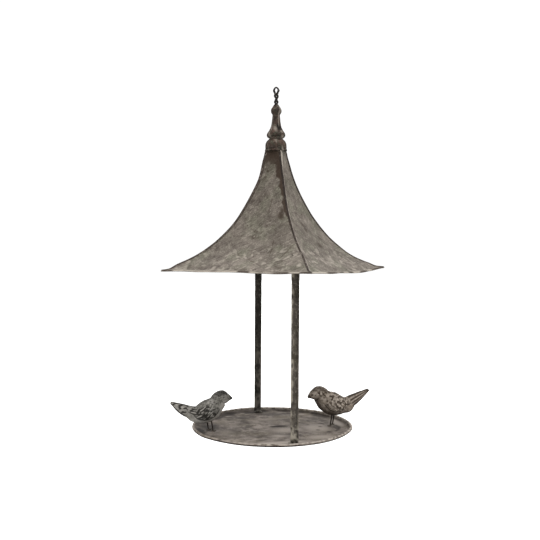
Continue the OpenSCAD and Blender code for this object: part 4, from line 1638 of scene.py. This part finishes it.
    def rubbed(self, skin: Skin, laid: Feathers, grime: np.ndarray) -> np.ndarray:
        """Where the casting is rubbed pale: on the feathers' ridges, the breast and the tail's lines.

        Args:
            skin: The plain body.
            laid: Where the plumage lies.
            grime: Where the dark wash stays, and on the soft bird the painted shadow under the belly.

        Returns:
            Amounts from 0 to 1.
        """
        level = laid.level
        if self.plumage is Plumage.CRISP:
            ridges = 0.35
            lines = 0.7 * ease(-0.2, 0.5, skin.rise) * laid.ribs
            pale = laid.breast * ease(-34, -4, skin.forward)
        else:
            ridges = 0.6
            lines = 0.85 * bump(level, 0.14, 0.08) + 0.4 * bump(level, -0.42, 0.06)
            pale = ease(0.05, 0.3, cloud(skin.points, 5.0, self.seed + 9)) * (1 - laid.breast)
        worn = np.maximum.reduce([ridges * laid.wing * (1 - laid.quills), laid.tail * lines, 0.6 * pale])
        return worn * (1 - 0.95 * grime)

    def placed(self, points: np.ndarray) -> np.ndarray:
        """Moves points from the bird's own place, above its feet, to the dish.

        Args:
            points: Rows of forward, sideways and height above the dish's floor.

        Returns:
            The points in the feeder, above the dish's underside.
        """
        turned = np.array(points, float) * np.array([self.facing, self.facing, 1])
        return turned + np.array([self.foot_x, self.foot_y, self.dish_sheet])

    def build_body(self) -> None:
        """Builds the casting."""
        rows = smooth_rows(self.plan.sections, self.steps)
        ahead = np.gradient(rows[:, :2], axis=0)
        ahead /= np.linalg.norm(ahead, axis=1)[:, None]
        turn = np.linspace(0, 2 * math.pi, self.sides, endpoint=False)
        c, s = np.cos(turn), np.sin(turn)
        tail = ease(self.plan.tail_root + 4, self.plan.tail_root - 12, rows[:, 0])[:, None]
        cos_part = c * (1 - tail) + np.sign(c) * np.abs(c) ** 0.75 * tail
        sin_part = s * (1 - tail) + np.sign(s) * np.abs(s) ** 0.75 * tail
        f = rows[:, 0:1] - ahead[:, 1:2] * rows[:, 2:3] * sin_part
        y = rows[:, 3:4] * cos_part
        z = rows[:, 1:2] + ahead[:, 0:1] * rows[:, 2:3] * sin_part
        points = np.column_stack([f.ravel(), y.ravel(), z.ravel()])
        shape = np.ones((len(rows), self.sides))
        forward = (rows[:, 0:1] * shape).ravel()
        up = (rows[:, 2:3] * sin_part).ravel()
        angle = (turn * shape).ravel()
        flank = np.abs(cos_part * shape).ravel()
        skin = Skin(points, forward, up, flank, angle)
        laid = self.feathers(skin)
        grime = self.stains_and_shade(skin, laid)
        size = (np.minimum(rows[:, 2], rows[:, 3])[:, None] * shape).ravel()
        height = (self.relief(skin, laid) - 0.55) * np.clip(size / 6, 0.1, 1)
        outward = np.column_stack([(-ahead[:, 1:2] * sin_part / rows[:, 2:3]).ravel(),
                                   (cos_part / rows[:, 3:4]).ravel(),
                                   (ahead[:, 0:1] * sin_part / rows[:, 2:3]).ravel()])
        outward /= np.linalg.norm(outward, axis=1)[:, None]
        points = points + outward * height[:, None] + np.array([0, 0, self.leg])
        self.shop.piece(f"cast_{self.name}", (self.placed(points), capped_faces(len(rows), self.sides)),
                        self.look, Body.FEEDER, "bird_casting", (self.name,),
                        {Mask.GRIME: grime, Mask.WORN: self.rubbed(skin, laid, grime)}, sharp=70)

    def build_legs(self) -> None:
        """Builds both legs, each with four toes in a blob of solder."""
        parts = []
        slope = math.tan(math.radians(self.lean))
        levels = np.linspace(0.6, self.leg + 9, 16)
        knuckles = 1 + 0.22 * bump(levels, 1.0, 1.4) + 0.12 * bump(levels, self.leg * 0.62, 1.2)
        for side in (-1, 1):
            foot = side * self.feet_gap / 2
            near = side * self.facing < 0
            ahead = self.stride / 2 if near else -self.stride / 2 - self.trail
            path = np.column_stack([ahead - levels * slope, np.full(len(levels), foot), levels])
            parts.append(tube(path, self.leg_radius * knuckles, 14))
            for way, length in self.toes:
                a = math.radians(way)
                reach = np.linspace(0, length, 7)
                toe = np.column_stack([ahead + reach * math.cos(a), foot + reach * math.sin(a),
                                       1.15 - 0.35 * reach / length])
                parts.append(tube(toe, 0.85 - 0.4 * reach / length, 10))
            points, faces = lathe(np.array(self.solder), 28)
            points[:, :2] *= (1 + 0.12 * cloud(points, 3, self.seed + 5))[:, None]
            points[:, :2] += (ahead, foot)
            parts.append((points, faces))
        points, faces = joined(parts)
        height = points[:, 2]
        self.shop.piece(f"wire_legs_{self.name}", (self.placed(points), faces), DARK_FIXING, Body.FEEDER,
                        "bird_legs", (f"{self.name}_legs",),
                        {Mask.GRIME: 0.6 * ease(3, 8, height), Mask.WORN: 0.5 * bump(height, 1.0, 1.2)})

    def build(self) -> None:
        """Builds the casting and its legs."""
        self.build_body()
        self.build_legs()


@dataclass
class Studio:
    """Pale floor, soft light and the camera at the photograph's angle."""

    shop: Workshop
    camera_place: tuple = (-0.3427, -1.2956, -0.2660)
    azimuth: float = -14.818
    yaw: float = -0.396
    pitch: float = -2.142
    roll: float = 0.313
    lens: float = 51.22
    floor_below: float = 0.45
    floor_radius: float = 14.0
    ceiling: float = 3.2
    side_walls: float = 0.85

    def camera(self) -> None:
        """Sets the camera up."""
        data = bpy.data.cameras.new("view")
        data.sensor_width = 36.0
        data.lens = self.lens
        data.clip_start, data.clip_end = 0.05, 60.0
        made = bpy.data.objects.new("view", data)
        bpy.context.scene.collection.objects.link(made)
        a, y, p, r = (math.radians(v) for v in (self.azimuth, self.yaw, self.pitch, self.roll))
        ahead = Vector((-math.sin(a), math.cos(a), 0))
        right = Vector((math.cos(a), math.sin(a), 0))
        ahead, right = (math.cos(y) * ahead + math.sin(y) * right, math.cos(y) * right - math.sin(y) * ahead)
        up = Vector((0, 0, 1))
        ahead, up = math.cos(p) * ahead + math.sin(p) * up, math.cos(p) * up - math.sin(p) * ahead
        right, up = math.cos(r) * right + math.sin(r) * up, math.cos(r) * up - math.sin(r) * right
        turned = Matrix((right, up, -ahead)).transposed().to_4x4()
        made.matrix_world = Matrix.Translation(self.camera_place) @ turned
        bpy.context.scene.camera = made

    def floor(self) -> None:
        """Makes the pale floor under the feeder."""
        level = DISH_UNDERSIDE - self.floor_below
        mesh = bpy.data.meshes.new("studio_floor")
        work = bmesh.new()
        bmesh.ops.create_circle(work, cap_ends=True, segments=96, radius=self.floor_radius)
        bmesh.ops.translate(work, verts=work.verts[:], vec=(0, 0, level))
        work.to_mesh(mesh)
        work.free()
        mesh.materials.append(self.shop.finish(PALE_PAPER))
        made = bpy.data.objects.new("studio_floor", mesh)
        bpy.context.scene.collection.objects.link(made)

    def light(self, name: str, place: tuple, size: float, power: float, target: tuple) -> None:
        """Adds one soft square light.

        Args:
            name: Its name.
            place: Where it hangs.
            size: The length of its sides in metres.
            power: Its power in watts.
            target: The point that it faces.
        """
        data = bpy.data.lights.new(name, "AREA")
        data.size = size
        data.energy = power
        made = bpy.data.objects.new(name, data)
        made.location = place
        made.rotation_euler = (Vector(target) - Vector(place)).to_track_quat("-Z", "Y").to_euler()
        bpy.context.scene.collection.objects.link(made)

    def build(self) -> None:
        """Makes the floor, the lights, the pale surroundings and the camera."""
        self.floor()
        middle = (0.0, 0.0, -0.3)
        self.light("overhead_box", (0.3, -0.5, 1.6), 2.0, 30.0, middle)
        self.light("front_box", (0.9, -2.6, 0.4), 2.0, 8.0, middle)
        world = bpy.data.worlds.new("pale_room")
        world.use_nodes = True
        tree = world.node_tree
        tree.nodes.clear()
        around = add_node(tree, "ShaderNodeTexCoord").outputs["Generated"]
        split = add_node(tree, "ShaderNodeSeparateXYZ", links={"Vector": around})
        # The room is pale all round: its ceiling is the brightest part and its side walls the dimmest
        ceiling = add_node(tree, "ShaderNodeMapRange",
                           {"From Min": 0.3, "From Max": 0.9, "To Min": 1.06, "To Max": self.ceiling},
                           {"Value": split.outputs["Z"]})
        across = add_node(tree, "ShaderNodeMath", {"operation": "ABSOLUTE"}, {0: split.outputs["X"]})
        walls = add_node(tree, "ShaderNodeMapRange",
                         {"From Min": 0.62, "From Max": 0.96, "To Min": 1.0, "To Max": self.side_walls},
                         {"Value": across.outputs["Value"]})
        both = add_node(tree, "ShaderNodeMath", {"operation": "MULTIPLY"},
                        {0: ceiling.outputs["Result"], 1: walls.outputs["Result"]})
        room = add_node(tree, "ShaderNodeBackground", {"Color": linear("#ffffff")},
                        {"Strength": both.outputs["Value"]})
        add_node(tree, "ShaderNodeOutputWorld", links={"Surface": room.outputs["Background"]})
        bpy.context.scene.world = world
        bpy.context.scene.view_settings.view_transform = "Standard"
        self.camera()


LEFT_PLAN = BirdPlan(
    sections=(
        (-69.0, 38.6, 2.2, 4.0), (-52.8, 28.5, 8.4, 6.5), (-38.5, 21.6, 11.2, 9.0),
        (-26.5, 17.0, 15.2, 13.5), (-13.5, 18.6, 18.7, 17.0), (-0.5, 24.5, 19.5, 17.2),
        (9.0, 32.9, 15.7, 15.0), (15.0, 40.7, 14.7, 12.4), (20.5, 43.0, 13.8, 11.0),
        (27.5, 42.5, 9.4, 8.0), (33.0, 42.0, 5.0, 3.8), (37.5, 41.1, 1.2, 1.0),
    ),
    shoulder=10.5, wing_tip=-44.0, tail_root=-38.0, eye=(22.5, 3.0), gape=28.5,
)
RIGHT_PLAN = BirdPlan(
    sections=(
        (-71.0, 44.2, 2.1, 4.0), (-54.0, 33.9, 7.4, 6.5), (-40.0, 26.3, 10.3, 8.6),
        (-29.0, 21.0, 12.7, 12.5), (-16.0, 19.5, 18.4, 16.0), (-3.0, 22.1, 21.0, 17.4),
        (8.0, 27.6, 19.8, 16.2), (15.0, 33.8, 16.8, 13.8), (22.0, 40.8, 14.3, 11.8),
        (30.5, 39.8, 11.2, 8.8), (37.5, 37.7, 6.3, 4.4), (43.0, 34.9, 1.3, 1.2),
    ),
    shoulder=14.0, wing_tip=-40.0, tail_root=-31.0, eye=(25.0, 3.4), gape=34.0,
)


def main() -> None:
    """Builds every sub-assembly and the studio."""
    logging.basicConfig(level=logging.INFO, format="%(message)s")
    shop = Workshop()
    assemblies = (
        Roof(shop),
        Finial(shop),
        Chain(shop),
        Posts(shop),
        Dish(shop),
        Bird(shop, "bird_left", LEFT_PLAN, foot_x=-112.5, foot_y=3.0, facing=1, leg=13.0,
             look=CAST_LEFT_BIRD, plumage=Plumage.CRISP, seed=21.0),
        Bird(shop, "bird_right", RIGHT_PLAN, foot_x=101.0, foot_y=-9.0, facing=-1, leg=17.0,
             look=CAST_RIGHT_BIRD, plumage=Plumage.SOFT, seed=31.0, trail=2.5),
        Studio(shop),
    )
    for assembly in assemblies:
        assembly.build()
        log.info("built: %s", type(assembly).__name__)


if __name__ == "__main__":
    main()
